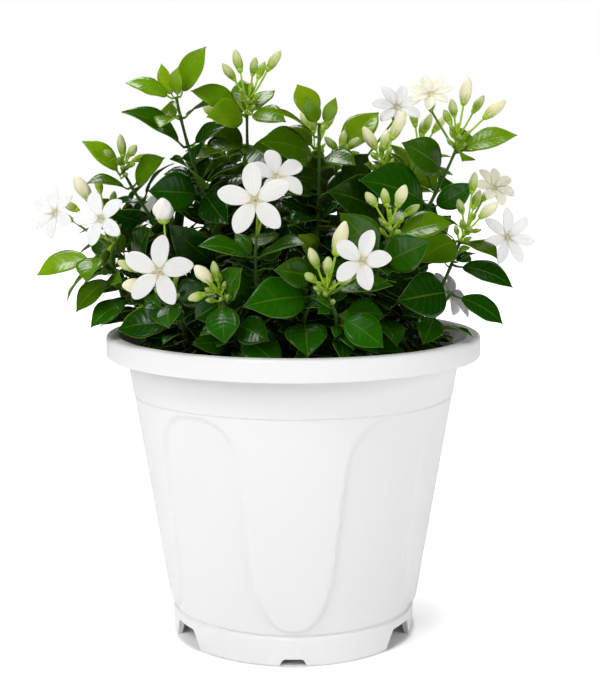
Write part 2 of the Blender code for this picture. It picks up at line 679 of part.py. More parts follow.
    def try_leaf(self, shoot, distance, root, heading, turn, older):
        """One leaf of a pair, turned, raised or made smaller until it is clear."""
        size = 27 + 9 * older + self.draw.uniform(-2, 3)
        rise = self.draw.uniform(0.15, 0.75)
        side = square_to(Vector((0.2, 1.0, 0.1)), heading)
        other = heading.cross(side)
        for scale in (1.0, 0.8):
            for swing in (0, 0.35, -0.35, 0.7, -0.7, 1.05, -1.05):
                for lift in (0, 0.4, -0.4):
                    angle = turn + swing
                    out = side * math.cos(angle) + other * math.sin(angle)
                    direction = (out + heading * (rise + lift)).normalized()
                    tip = root + direction * size * scale
                    tip.z -= size * 0.12
                    start = root + out * (STEM_TIP + (STEM_BASE - STEM_TIP) * older + PETIOLE_START)
                    leaf = Leaf(start, tip, size * scale * 0.58, self.leaf_face(root, tip, 0.45), 0.10)
                    if self.suits(leaf):
                        self.take(shoot, distance, leaf, PLAIN_LEAF)
                        return

    def suits(self, leaf):
        """Inside the crown, hiding nothing that shows, and clear of the rest."""
        tip = leaf.tip
        if abs(tip.x) > CROWN_SIDE or abs(tip.y) > CROWN_DEPTH or tip.z > CROWN_TOP:
            return False
        if self.crown.hides_a_seen_piece(leaf):
            return False
        return self.crown.is_clear(leaf.guard())


# Objects

def plastic(name, colour, roughness):
    """A material with one colour and one roughness."""
    material = bpy.data.materials.new(name)
    material.use_nodes = True
    shader = material.node_tree.nodes["Principled BSDF"]
    shader.inputs["Base Color"].default_value = (*colour, 1)
    shader.inputs["Roughness"].default_value = roughness
    shader.inputs["Metallic"].default_value = 0.0
    return material


def to_object(name, bm, collection=None):
    """An object with its mesh in metres."""
    for vert in bm.verts:
        vert.co *= MM
    mesh = bpy.data.meshes.new(name)
    bm.to_mesh(mesh)
    bm.free()
    made = bpy.data.objects.new(name, mesh)
    (collection or bpy.context.scene.collection).objects.link(made)
    return made


def combine(target, pieces, operation):
    """Joins or cuts a list of meshes with one Boolean, applied."""
    collection = bpy.data.collections.new(target.name + "_pieces")
    bpy.context.scene.collection.children.link(collection)
    for i, bm in enumerate(pieces):
        to_object(f"{target.name}_piece_{i}", bm, collection)
    boolean = target.modifiers.new(operation.title(), "BOOLEAN")
    boolean.operation = operation
    boolean.operand_type = "COLLECTION"
    boolean.collection = collection
    boolean.solver = "EXACT"
    evaluated = target.evaluated_get(bpy.context.evaluated_depsgraph_get())
    mesh = bpy.data.meshes.new_from_object(evaluated)
    target.modifiers.clear()
    target.data = mesh
    for piece in list(collection.objects):
        bpy.data.objects.remove(piece, do_unlink=True)
    bpy.data.collections.remove(collection)
    keep_largest_body(target)


def keep_largest_body(target):
    """Merges doubles, splits faces into triangles and drops loose scraps."""
    bm = bmesh.new()
    bm.from_mesh(target.data)
    bmesh.ops.remove_doubles(bm, verts=bm.verts, dist=0.00001)
    bmesh.ops.dissolve_degenerate(bm, edges=bm.edges, dist=0.00001)
    bmesh.ops.triangulate(bm, faces=bm.faces)
    waiting = set(bm.faces)
    bodies = []
    while waiting:
        body = []
        edge_of_body = [waiting.pop()]
        while edge_of_body:
            face = edge_of_body.pop()
            body.append(face)
            for edge in face.edges:
                for near in edge.link_faces:
                    if near in waiting:
                        waiting.remove(near)
                        edge_of_body.append(near)
        bodies.append(body)
    bodies.sort(key=len)
    scraps = [face for body in bodies[:-1] for face in body]
    bmesh.ops.delete(bm, geom=scraps, context="FACES")
    bm.to_mesh(target.data)
    bm.free()


def finish(target, material):
    """Gives an object its material and smooth shading with crisp edges."""
    target.data.materials.clear()
    target.data.materials.append(material)
    target.data.shade_smooth()
    target.data.set_sharp_from_angle(angle=math.radians(40))


# The pot and its soil

def tongue_columns(half):
    """Angles of the relief's columns over one tongue and one arch, in degrees."""
    period = 360 / TONGUES
    panel = period / 2
    edge = half + RELIEF_EDGE
    right = [0, half / 2, half, edge, (edge + panel) / 2, panel]
    return [-a for a in reversed(right[1:-1])] + right


def pot_ring(half, radius_at):
    """One level ring of the pot: for each column its angle and radius."""
    columns = []
    for k in range(TONGUES):
        for i, angle in enumerate(tongue_columns(half)):
            columns.append((360 / TONGUES * k + angle, radius_at(i)))
    return columns


def body_radius(height):
    """Outer radius of the tapering body."""
    share = (height - FOOT_HEIGHT) / (STEP_HEIGHT - FOOT_HEIGHT)
    return BODY_BOTTOM_RADIUS + (BAND_BOTTOM_RADIUS - BAND_PROUD - BODY_BOTTOM_RADIUS) * share


def pot_rings():
    """The pot's section as rings, from the floor's underside round the outside to the inside."""
    plain = TONGUE_OUTLINE[4][1]
    rings = []

    def level(radius, height, half=plain):
        rings.append((height, pot_ring(half, lambda i: radius)))

    level(FOOT_RADIUS - FOOT_WALL - 1, FLOOR_UNDERSIDE)
    level(FOOT_RADIUS - FOOT_WALL, 0)
    level(FOOT_RADIUS, 0)
    level(FOOT_TOP_RADIUS, FOOT_HEIGHT - 0.4)
    level(BODY_BOTTOM_RADIUS - RELIEF, FOOT_HEIGHT + 0.4)
    raised = (2, 3, 4, 5, 6)
    first_height, first_half = TONGUE_OUTLINE[0]
    level(body_radius(first_height) - RELIEF, first_height - 1, first_half)
    for height, half in TONGUE_OUTLINE:
        outer = body_radius(height)
        rings.append((height, pot_ring(half, lambda i: outer if i in raised else outer - RELIEF)))
    last_height, last_half = TONGUE_OUTLINE[-1]
    level(BAND_BOTTOM_RADIUS - BAND_PROUD, STEP_HEIGHT - 0.1, last_half)
    level(BAND_BOTTOM_RADIUS, STEP_HEIGHT + 0.4)
    level(BAND_TOP_RADIUS, RIM_BOTTOM + 0.8)
    level(RIM_INNER + RIM_WALL, RIM_TOP - RIM_WALL)
    level(RIM_RADIUS - RIM_WALL, RIM_TOP - RIM_WALL)
    level(RIM_RADIUS - RIM_WALL, RIM_BOTTOM)
    level(RIM_RADIUS, RIM_BOTTOM)
    level(RIM_RADIUS, RIM_TOP - RIM_ROUNDING)
    level(RIM_RADIUS - RIM_ROUNDING, RIM_TOP)
    level(RIM_INNER, RIM_TOP)
    level(inner_radius(RIM_BOTTOM), RIM_BOTTOM)
    level(inner_radius(FLOOR_TOP), FLOOR_TOP)
    return rings


def inner_radius(height):
    """Radius of the inside wall."""
    return body_radius(height) - WALL - 0.4


def make_pot(material):
    bm = bmesh.new()
    loops = []
    for height, columns in pot_rings():
        loops.append([bm.verts.new((math.sin(math.radians(a)) * r, -math.cos(math.radians(a)) * r, height))
                      for a, r in columns])
    count = len(loops[0])
    for lower, upper in zip(loops, loops[1:]):
        for k in range(count):
            after = (k + 1) % count
            bm.faces.new((lower[k], lower[after], upper[after], upper[k]))
    floors = [bm.faces.new(loops[0]), bm.faces.new(loops[-1])]
    bmesh.ops.recalc_face_normals(bm, faces=bm.faces)
    bmesh.ops.triangulate(bm, faces=[face for face in bm.faces if face not in floors])
    pot = to_object("pot", bm)
    combine(pot, [notch_cutter(k) for k in range(NOTCHES)] + [drain_cutter(k) for k in range(DRAIN_HOLES)],
            "DIFFERENCE")
    finish(pot, material)


def notch_cutter(index):
    """A wedge that cuts one drain notch in the foot ring: small in front, then large by turns."""
    top, bottom, height = LARGE_NOTCH if index % 2 else SMALL_NOTCH
    bm = bmesh.new()
    near = FOOT_RADIUS - FOOT_WALL - 4
    far = FOOT_RADIUS + 5
    flare = (bottom - top) / 2 / height
    below = 2.0
    outline = [(-top / 2, height), (top / 2, height), (bottom / 2 + flare * below, -below),
               (-bottom / 2 - flare * below, -below)]
    face = bm.faces.new([bm.verts.new((x, -near, z)) for x, z in outline])
    grown = bmesh.ops.extrude_face_region(bm, geom=[face])
    moved = [g for g in grown["geom"] if isinstance(g, bmesh.types.BMVert)]
    bmesh.ops.translate(bm, verts=moved, vec=(0, near - far, 0))
    turn(bm, 360 / NOTCHES * index)
    bmesh.ops.recalc_face_normals(bm, faces=bm.faces)
    return bm


def drain_cutter(index):
    """A short rod through the raised floor."""
    bm = bmesh.new()
    bmesh.ops.create_cone(bm, cap_ends=True, segments=6, radius1=DRAIN_RADIUS, radius2=DRAIN_RADIUS,
                          depth=FLOOR_TOP - FLOOR_UNDERSIDE + 4)
    bmesh.ops.translate(bm, verts=bm.verts, vec=(0, -DRAIN_CIRCLE, (FLOOR_TOP + FLOOR_UNDERSIDE) / 2))
    turn(bm, 360 / DRAIN_HOLES * (index + 0.5))
    return bm


def turn(bm, degrees):
    """Turns a mesh round the pot's axis."""
    angle = math.radians(degrees)
    for vert in bm.verts:
        x, y = vert.co.x, vert.co.y
        vert.co.x = x * math.cos(angle) - y * math.sin(angle)
        vert.co.y = x * math.sin(angle) + y * math.cos(angle)


def make_soil(stems, material):
    """Soil that fills the pot, with a rough top and a plain hole for each stem."""
    widest_step = 18.6           # degrees between the pot's columns at their farthest
    shrink = math.cos(math.radians(widest_step / 2))
    bm = bmesh.new()
    loops = []
    bottom = FLOOR_TOP + GAP
    middle_top = SOIL_TOP + SOIL_CROWN
    levels = (
        (inner_radius(FLOOR_TOP) * shrink - GAP, bottom),
        (inner_radius(SOIL_TOP) * shrink - GAP, SOIL_TOP),
        (SOIL_MIDDLE, middle_top))
    for i, (radius, height) in enumerate(levels):
        loop = []
        for k in range(SOIL_SIDES):
            angle = 2 * math.pi * (k + 0.5 * (i % 2)) / SOIL_SIDES
            rough = 0.8 * math.sin(3 * angle + i) + 0.5 * math.sin(7 * angle + 2 * i) if i > 1 else 0
            loop.append(bm.verts.new((radius * math.cos(angle), radius * math.sin(angle), height + rough)))
        loops.append(loop)
    for lower, upper in zip(loops, loops[1:]):
        for k in range(SOIL_SIDES):
            after = (k + 1) % SOIL_SIDES
            bm.faces.new((lower[k], lower[after], upper[after], upper[k]))
    for loop, height in ((loops[0], bottom), (loops[-1], middle_top)):
        middle = bm.verts.new((0, 0, height))
        for k in range(SOIL_SIDES):
            bm.faces.new((loop[k], loop[(k + 1) % SOIL_SIDES], middle))
    bmesh.ops.recalc_face_normals(bm, faces=bm.faces)
    bmesh.ops.triangulate(bm, faces=bm.faces)
    soil = to_object("soil", bm)
    holes = []
    hole_radius = STEM_BASE * SQUARE / math.sqrt(2) + 0.8
    for points in stems.values():
        foot = points[0] - Vector((0, 0, GAP))
        top = foot + Vector((0, 0, ROOT_DEPTH + 6))
        holes.append(tube_mesh([foot, top], (hole_radius, hole_radius), 4))
    combine(soil, holes, "DIFFERENCE")
    finish(soil, material)


# The plant's nodes

class Collar:
    """A short band on a stem; limbs grow from its four sides."""

    def __init__(self, points, place, heading, radius):
        centre, axis = along_path(points, place)
        side = square_to(heading, axis)
        other = axis.cross(side)
        half = radius * SQUARE / 2
        corners = [(side * x + other * y) * half for x, y in ((1, -1), (1, 1), (-1, 1), (-1, -1))]
        self.place = place
        self.normals = [side, other, -side, -other]
        self.lower = [centre + corner - axis * COLLAR / 2 for corner in corners]
        self.upper = [centre + corner + axis * COLLAR / 2 for corner in corners]
        self.limbs = {}

    def side_of(self, ring_below, ring_above, k):
        """The four corners of one side, from the band's lower and upper rings."""
        after = (k + 1) % 4
        return [ring_below[k], ring_below[after], ring_above[after], ring_above[k]]

    def trial(self, k, sections):
        """A limb as it would grow from one side, started just clear of the band."""
        root = self.side_of(self.lower, self.upper, k)
        centre = sum(root, Vector()) / 4
        root = [corner.lerp(centre, 0.08) + self.normals[k] * 0.05 for corner in root]
        return BVHTree.FromBMesh(limb_mesh([nearest_turn(root, sections[0])] + sections))


def stem_collars(points, growths, radius_at, standing):
    """Finds each limb a collar and a side from which it crosses nothing that stands already."""
    length = path_length(points)
    core_radii = [radius_at(path_length(points[:i + 1]) / length) * 0.7 for i in range(len(points))]
    core = tube_mesh(points, core_radii, 4)
    grown = [BVHTree.FromBMesh(core)] + standing
    collars = []
    reach = 6                    # collars to try above and below the wanted place
    for distance, heading, sections in sorted(growths, key=lambda growth: -growth[0]):
        wanted = min(distance, length) - COLLAR / 2
        choices = []
        for step in range(-reach, reach + 1):
            place = wanted + step * COLLAR
            if place < COLLAR or place > length - COLLAR / 2:
                continue
            if all(abs(collar.place - place) > COLLAR * 1.8 for collar in collars):
                fresh = Collar(points, place, heading, radius_at(place / length))
                choices.append((abs(step) * 0.08, 0, fresh))
        for collar in collars:
            away = abs(collar.place - wanted) / COLLAR
            for k in range(4):
                if away <= reach and k not in collar.limbs:
                    slant = 1 - collar.normals[k].dot(heading)
                    choices.append((away * 0.08 + slant * 0.4, k, collar))
        choices.sort(key=lambda choice: choice[0])
        tried = []
        for _, k, collar in choices:
            tree = collar.trial(k, sections)
            crossings = sum(len(tree.overlap(other)) for other in grown)
            tried.append((crossings, len(tried), k, collar, tree))
            if crossings == 0:
                break
        _, _, k, collar, tree = min(tried, key=lambda entry: entry[:2])
        collar.limbs[k] = sections
        grown.append(tree)
        if collar not in collars:
            collars.append(collar)
    return sorted(collars, key=lambda collar: collar.place)


def make_stem(name, points, growths, radii, material, standing=()):
    """A stem of four sides; leaves, twigs or buds grow from the sides of its collars."""
    length = path_length(points)

    def radius_at(share):
        return radii[0] + (radii[1] - radii[0]) * share

    from_sides = [growth for growth in growths if growth[0] is not None]
    collars = stem_collars(points, from_sides, radius_at, list(standing))
    bare = [0.0, length]
    for i in range(1, len(points) - 1):
        bare.append(path_length(points[:i + 1]))
    stops = [(collar.place, collar) for collar in collars]
    for place in bare:
        if all(abs(place - collar.place) > COLLAR for collar in collars):
            stops.append((place, None))
    bm = bmesh.new()
    before = []
    for place, collar in sorted(stops, key=lambda stop: stop[0]):
        if collar:
            corners = collar.lower
        else:
            band = Collar(points, place, Vector((1, 0, 0)), radius_at(place / length))
            corners = [low.lerp(high, 0.5) for low, high in zip(band.lower, band.upper)]
        ring = [bm.verts.new(corner) for corner in corners]
        if before:
            skin(bm, nearest_turn(before, corners), ring)
        else:
            bm.faces.new(ring[::-1])
        if collar:
            upper = [bm.verts.new(corner) for corner in collar.upper]
            for k in range(4):
                root = collar.side_of(ring, upper, k)
                if k in collar.limbs:
                    sections = collar.limbs[k]
                    grow_limb(bm, nearest_turn(root, sections[0]), sections)
                else:
                    bm.faces.new(root)
            ring = upper
        before = ring
    last = [sections for distance, _, sections in growths if distance is None]
    if last:
        grow_limb(bm, nearest_turn(before, last[0][0]), last[0])
    else:
        bm.faces.new(before)
    bmesh.ops.triangulate(bm, faces=bm.faces)
    finish(to_object(name, bm), material)


def make_bloom(name, foot, throat, facing, petals, material):
    """A tube with as many sides as petals; each petal grows from one side of its collar."""
    bm = bmesh.new()
    sides = len(petals)
    side = square_to(petals[0].along, facing)
    path = [foot, throat - facing * COLLAR, throat]
    rings = [[bm.verts.new(p) for p in ring]
             for ring in tube_rings(path, (TUBE_RADIUS, THROAT_RADIUS, THROAT_RADIUS), sides, side)]
    bm.faces.new(rings[0][::-1])
    bm.faces.new(rings[2])
    for k in range(sides):
        after = (k + 1) % sides
        bm.faces.new((rings[0][k], rings[0][after], rings[1][after], rings[1][k]))
        root = [rings[1][k], rings[1][after], rings[2][after], rings[2][k]]
        sections = petals[k].sections(PETAL)
        grow_limb(bm, nearest_turn(root, sections[0]), sections)
    bmesh.ops.triangulate(bm, faces=bm.faces)
    finish(to_object(name, bm), material)


def main():
    for old in list(bpy.data.objects):
        bpy.data.objects.remove(old, do_unlink=True)
    pot_white = plastic("white_plastic", (0.86, 0.87, 0.88), 0.35)
    soil_brown = plastic("potting_soil", (0.035, 0.024, 0.016), 0.95)
    leaf_green = plastic("leaf_green", (0.035, 0.16, 0.012), 0.4)
    bud_green = plastic("bud_cream_green", (0.62, 0.68, 0.34), 0.5)
    petal_white = plastic("petal_white", (0.88, 0.87, 0.84), 0.6)
    plant = Plant()
    make_pot(pot_white)
    make_soil(plant.stems, soil_brown)
    for name, points in plant.stems.items():
        standing = plant.tops.get(name, ())
        make_stem(name, points, plant.growths[name], (STEM_BASE, STEM_TIP), leaf_green, standing)
    for name, (points, growths) in plant.sprays.items():
        make_stem(name, points, growths, (SPRAY_STALK, SPRAY_STALK), bud_green)
    for name, (foot, throat, facing, petals) in plant.blooms.items():
        make_bloom(name, foot, throat, facing, petals, petal_white)
    for shoot, node, tip in plant.dropped:
        print("no clear place for the leaf", shoot, node, tip)
    print(plant.leaf_count, "leaves")
    total = 0
    for made in bpy.context.scene.objects:
        count = len(made.data.polygons)
        total += count
        print(made.name, count)
    print(total, "triangles")


main()
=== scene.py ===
import itertools
import json
import math
import random
from functools import partial

import bmesh
import bpy
from mathutils import Matrix, Vector, noise
from mathutils.bvhtree import BVHTree

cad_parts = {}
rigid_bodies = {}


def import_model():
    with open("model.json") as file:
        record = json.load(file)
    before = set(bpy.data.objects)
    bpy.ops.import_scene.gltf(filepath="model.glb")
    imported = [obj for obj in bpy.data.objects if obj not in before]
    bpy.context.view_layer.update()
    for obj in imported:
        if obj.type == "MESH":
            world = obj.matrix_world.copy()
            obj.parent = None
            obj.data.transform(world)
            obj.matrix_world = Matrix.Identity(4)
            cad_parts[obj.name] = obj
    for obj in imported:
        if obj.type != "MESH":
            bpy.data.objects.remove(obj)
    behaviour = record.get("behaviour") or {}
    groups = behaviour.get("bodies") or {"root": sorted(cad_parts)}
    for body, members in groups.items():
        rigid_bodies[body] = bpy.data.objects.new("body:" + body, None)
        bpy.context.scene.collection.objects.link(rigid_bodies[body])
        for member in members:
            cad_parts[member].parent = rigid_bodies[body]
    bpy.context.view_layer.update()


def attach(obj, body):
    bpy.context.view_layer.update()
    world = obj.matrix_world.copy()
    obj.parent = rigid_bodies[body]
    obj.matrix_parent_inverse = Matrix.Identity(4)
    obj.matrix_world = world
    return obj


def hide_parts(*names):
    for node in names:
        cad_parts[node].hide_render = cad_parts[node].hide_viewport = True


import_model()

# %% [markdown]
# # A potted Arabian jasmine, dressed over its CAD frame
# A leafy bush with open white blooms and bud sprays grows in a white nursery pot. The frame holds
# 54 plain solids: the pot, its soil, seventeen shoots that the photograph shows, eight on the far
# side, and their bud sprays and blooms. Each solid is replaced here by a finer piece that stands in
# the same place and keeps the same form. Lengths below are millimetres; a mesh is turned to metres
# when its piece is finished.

MM = 0.001

# %% [markdown]
# ## The pot's sizes
# The real pot is a moulded nursery pot with a folded rim, a plain band under it and a tapering body
# on a foot ring. Its lengths are read off the photograph, with the rim taken as 205 mm across. They
# come first because the stems, the soil and the leaves' guards need them long before the pot itself
# is spun.

# %% pot sizes
RIM_RADIUS = 102.5
RIM_TOP = 167.2
RIM_BOTTOM = 155.7
RIM_INNER = 95.3
RIM_WALL = 2.2
RIM_ROUNDING = 2.4
BAND_TOP_RADIUS = 91.6       # the plain band under the rim
BAND_BOTTOM_RADIUS = 88.4
STEP_HEIGHT = 135.3          # the line where the band stands proud of the body
BAND_PROUD = 0.5
BODY_BOTTOM_RADIUS = 69.6
FOOT_HEIGHT = 18.1
FOOT_TOP_RADIUS = 68.0
FOOT_RADIUS = 67.2
FOOT_WALL = 2.6
WALL = 2.6
FLOOR_UNDERSIDE = 12.0
FLOOR_TOP = 14.6
SOIL_TOP = 150.0
SOIL_CROWN = 1.0             # how much higher the soil's middle is than its edge
GAP = 0.3                    # clearance between pieces that touch


def body_radius(height):
    """Outer radius of the tapering body."""
    share = (height - FOOT_HEIGHT) / (STEP_HEIGHT - FOOT_HEIGHT)
    return BODY_BOTTOM_RADIUS + (BAND_BOTTOM_RADIUS - BAND_PROUD - BODY_BOTTOM_RADIUS) * share


def inner_radius(height):
    """Radius of the inside wall."""
    return body_radius(height) - WALL - 0.4


print("pot", 2 * RIM_RADIUS, "mm across and", RIM_TOP, "mm tall;",
      "soil", 2 * inner_radius(SOIL_TOP), "mm across")

# %% [markdown]
# ## The line of sight
# A place in the tables below is given on the upright plane through the pot's axis, as the eye sees
# it, with its real depth behind (+) or in front (-) of that plane. Places could be written as plain
# x, y, z, but then each change of depth would shift a leaf in the picture. Sliding a place along
# the line of sight to its depth keeps it where the photograph shows it.

# %% places as the eye sees them
EYE_DISTANCE = 706.0
EYE_HEIGHT = 264.0


def seen_at(x, z, depth):
    """The point at this depth that shows at x, z on the pot's mid plane."""
    reach = 1 + depth / EYE_DISTANCE
    return Vector((x * reach, depth, EYE_HEIGHT + (z - EYE_HEIGHT) * reach))


def shown_at(point):
    """Where a point shows on the pot's mid plane."""
    reach = 1 + point.y / EYE_DISTANCE
    return Vector((point.x / reach, EYE_HEIGHT + (point.z - EYE_HEIGHT) / reach))


print("a leaf seen at x 50, height 200 and 60 mm in front stands at", seen_at(50, 200, -60))


# %% directions round an axis
def square_to(direction, axis):
    """The unit part of a direction that is square to an axis."""
    return (direction - axis * direction.dot(axis)).normalized()


def two_across(axis, hint=(0.3, 1.0, 0.1)):
    """Two directions square to an axis and to each other, the first as near to a hint as can be."""
    side = square_to(Vector(hint), axis)
    return side, axis.cross(side)


def spoke(side, other, angle):
    """The direction at an angle between two that are square to each other."""
    return side * math.cos(angle) + other * math.sin(angle)


def outward(point):
    """Level direction from the pot's axis to a point."""
    flat = Vector((point.x, point.y, 0))
    return flat.normalized() if flat.length > 1 else Vector((0, -1, 0))


# %% paths of straight runs
def path_length(points):
    """Length of a path."""
    return sum((b - a).length for a, b in zip(points, points[1:]))


def along_path(points, distance):
    """The point and direction this far along a path, or at its end."""
    for a, b in zip(points, points[1:]):
        length = (b - a).length
        if distance <= length:
            return a.lerp(b, distance / length), (b - a).normalized()
        distance -= length
    return points[-1].copy(), (points[-1] - points[-2]).normalized()


TO_THE_END = 999             # a distance past every stem's end

# %% [markdown]
# ## Guards
# Living leaves push each other aside, so none passes through another. Checking the finished meshes
# against each other would be slow. Instead, while the plant grows, each thing already standing is
# kept as a slightly swollen stand-in of few faces, and a new leaf is turned, raised or made smaller
# until its own stand-in is clear.

# %% stand-ins as small closed meshes
BLADE = 0.7                  # thickness of the CAD's leaves and petals
BLADE_SKIN = (               # a blade's faces between two rings of four, split alike on both of its sides
    (0, 1, 5), (0, 5, 4), (1, 2, 6), (1, 6, 5), (2, 3, 6), (3, 7, 6), (3, 0, 4), (3, 4, 7))


def tube_rings(points, radii, sides, side):
    """Points of the rings of a tube; the first direction is carried along without twist."""
    rings = []
    for i, (point, radius) in enumerate(zip(points, radii)):
        before = points[max(i - 1, 0)]
        after = points[min(i + 1, len(points) - 1)]
        axis = (after - before).normalized()
        side = square_to(side, axis)
        other = axis.cross(side)
        turns = [2 * math.pi * (k - 0.5) / sides for k in range(sides)]
        rings.append([point + spoke(side, other, a) * radius for a in turns])
    return rings


def join_rings(bm, rings):
    """Closes rings of corners to a tube; gives its two ends and its walls."""
    count = len(rings[0])
    ends = [bm.faces.new(rings[0][::-1]), bm.faces.new(rings[-1])]
    walls = [bm.faces.new((lower[k], lower[(k + 1) % count], upper[(k + 1) % count], upper[k]))
             for lower, upper in zip(rings, rings[1:]) for k in range(count)]
    return ends, walls


def tube_guard(points, radii, sides):
    """A closed tube through points."""
    bm = bmesh.new()
    side = two_across((points[1] - points[0]).normalized())[0]
    join_rings(bm, [[bm.verts.new(p) for p in ring] for ring in tube_rings(points, radii, sides, side)])
    return bm


def blade_guard(sections):
    """A closed blade through sections of four points."""
    bm = bmesh.new()
    ring = [bm.verts.new(point) for point in sections[0]]
    bm.faces.new(ring[::-1])
    for section in sections[1:]:
        upper = [bm.verts.new(point) for point in section]
        for corners in BLADE_SKIN:
            bm.faces.new([(ring + upper)[i] for i in corners])
        ring = upper
    bm.faces.new(ring)
    return bm


# %% a leaf or petal
LEAF_GUARD = (               # share of the length, and of the half width, of a blade's stand-in
    (0.05, 0.04), (0.16, 0.3), (0.36, 1.0), (0.62, 1.0), (0.84, 0.66), (1.03, 0.15))


class Leaf:
    """A leaf or petal: its root, tip, width, the direction it faces and its arch."""

    def __init__(self, root, tip, width, face, arch):
        self.along = (tip - root).normalized()
        self.root = root
        self.tip = tip
        self.length = (tip - root).length
        self.width = width
        self.face = square_to(face, self.along)
        self.side = self.along.cross(self.face)
        self.arch = arch

    def point(self, share, across):
        """A point on the middle surface: share of the length, and -1 to 1 across."""
        middle = self.root.lerp(self.tip, share)
        middle += self.face * (self.arch * self.length * 4 * share * (1 - share))
        return middle + self.side * (self.width / 2 * across)

    def guard(self, spare=1.0):
        """A swollen blade from just past the root to the tip."""
        up = self.face * (BLADE + 1.2 * spare) / 2
        grow = 1 + spare * 2 / self.width
        sections = []
        for share, half in LEAF_GUARD:
            right = self.point(share, half * grow)
            left = self.point(share, -half * grow)
            sections.append([right - up, left - up, left + up, right + up])
        return blade_guard(sections)


# %% what stands already
UNSEEN_DEPTH = 40.0          # pieces farther back than this may be hidden by leaves


def box_of(bm):
    """Lowest and highest corners of a mesh."""
    low = Vector(min(v.co[k] for v in bm.verts) for k in range(3))
    high = Vector(max(v.co[k] for v in bm.verts) for k in range(3))
    return low, high


class Crown:
    """Keeps the pieces of the plant clear of each other and the seen ones in view."""

    def __init__(self):
        self.guards = []
        self.views = []

    def is_clear(self, bm):
        """Whether a swollen mesh crosses nothing that already stands."""
        low, high = box_of(bm)
        tree = BVHTree.FromBMesh(bm)
        for other, other_low, other_high in self.guards:
            if all(low[k] < other_high[k] and other_low[k] < high[k] for k in range(3)):
                if tree.overlap(other):
                    return False
        return True

    def keep(self, bm):
        """Adds a guard."""
        low, high = box_of(bm)
        self.guards.append((BVHTree.FromBMesh(bm), low, high))

    def hides_a_seen_piece(self, leaf):
        """Whether a leaf stands in front of a piece that the eye sees."""
        for share, across in itertools.product((0.2, 0.4, 0.6, 0.8, 1.0), (-1, 0, 1)):
            point = leaf.point(share, across)
            place = shown_at(point)
            for centre, radius, depth in self.views:
                if point.y < depth and (place - centre).length < radius:
                    return True
        return False

    def watch(self, point, radius):
        """Keeps the view of a point free, unless it is on the far side."""
        if point.y < UNSEEN_DEPTH:
            self.views.append((shown_at(point), radius, point.y))


# %% guards of the rim and the soil
def guard_the_pot(crown, sides=24, spare=1.0):
    """The rim and the soil, as far as leaves could reach them, grown by a spare millimetre."""
    section = (
        (RIM_RADIUS + spare, RIM_BOTTOM - spare), (RIM_RADIUS + spare, RIM_TOP + spare),
        (RIM_INNER - spare, RIM_TOP + spare), (inner_radius(RIM_BOTTOM) - spare, RIM_BOTTOM),
        (inner_radius(SOIL_TOP) - spare, SOIL_TOP))
    for (lower, low), (upper, high) in zip(section, section[1:]):
        bm = bmesh.new()
        bmesh.ops.create_cone(bm, segments=sides, radius1=lower, radius2=upper, depth=high - low)
        bmesh.ops.translate(bm, verts=bm.verts, vec=(0, 0, (low + high) / 2))
        crown.keep(bm)
    bm = bmesh.new()
    bmesh.ops.create_circle(bm, cap_ends=True, segments=sides, radius=RIM_INNER)
    bmesh.ops.translate(bm, verts=bm.verts, vec=(0, 0, SOIL_TOP + SOIL_CROWN + 2))
    crown.keep(bm)


crown = Crown()
guard_the_pot(crown)
print(len(crown.guards), "guards stand round the rim and the soil")

# %% [markdown]
# ## Stems
# Arabian jasmine sends several thin shoots up out of one pot. Seventeen are read off the
# photograph, node by node. The far side can't be seen, so eight more follow a rule: each leans out
# from where it stands. A stem could be drawn as a curve; a path of straight runs is enough here,
# and it is rounded when the shoot is made.

# %% the shoots' stems
STEM_BASE = 1.7
STEM_TIP = 0.8
ROOT_DEPTH = 9.0             # how far a stem reaches down into the soil
SOIL_STRAIGHT = 5            # it stands upright this far above the soil
BACK_LEAN = 1.3              # power of the curve by which a shoot on the far side leans out

# Each shoot: where it stands in the soil (x, y), then its nodes (x, height, depth) upwards.
SHOOTS = {
    "shoot_left_top": ((-30, 2), (
        (-40, 205, -8), (-49, 243, -16), (-57, 268, -18), (-61, 284, -18), (-63, 294, -18))),
    "shoot_top": ((-10, 14), ((-18, 205, -2), (-23, 240, -8), (-25, 268, -10), (-25, 285, -10))),
    "shoot_top_middle": ((10, -6), (
        (13, 205, -24), (14, 238, -26), (14, 262, -26), (14, 273, -26), (14, 280, -26))),
    "shoot_middle_right": ((28, 14), ((26, 210, 0), (24, 242, -4), (23, 262, -8))),
    "shoot_right_inner": ((38, -6), ((44, 205, -14), (49, 232, -16), (50, 254, -18))),
    "shoot_right_top": ((52, 8), ((62, 205, 0), (74, 236, -4), (83, 254, -6), (88, 266, -6))),
    "shoot_right": ((68, -4), ((80, 188, -16), (87, 204, -16), (91, 216, -14))),
    "shoot_right_low": ((64, -28), ((78, 176, -40), (87, 188, -42))),
    "shoot_centre_right": ((36, -30), ((42, 188, -48), (48, 206, -54), (53, 219, -54))),
    "shoot_front_right": ((24, -52), ((24, 176, -72), (19, 187, -76))),
    "shoot_front": ((2, -46), ((6, 174, -60), (11, 186, -66), (12, 197, -66))),
    "shoot_front_left": ((-26, -50), ((-34, 172, -68), (-38, 184, -72))),
    "shoot_left_low": ((-50, -38), ((-62, 172, -56), (-67, 184, -62))),
    "shoot_left": ((-66, -12), ((-80, 178, -24), (-89, 187, -28), (-98, 198, -30), (-107, 209, -30))),
    "shoot_left_middle": ((-58, 12), ((-72, 188, 2), (-86, 200, -4), (-97, 212, -10))),
    "shoot_left_high": ((-44, 20), ((-60, 205, 10), (-78, 230, 2), (-88, 246, -2), (-92, 254, -2))),
    "shoot_centre_left": ((-14, -28), ((-20, 192, -58), (-21, 208, -64), (-20, 219, -66))),
}

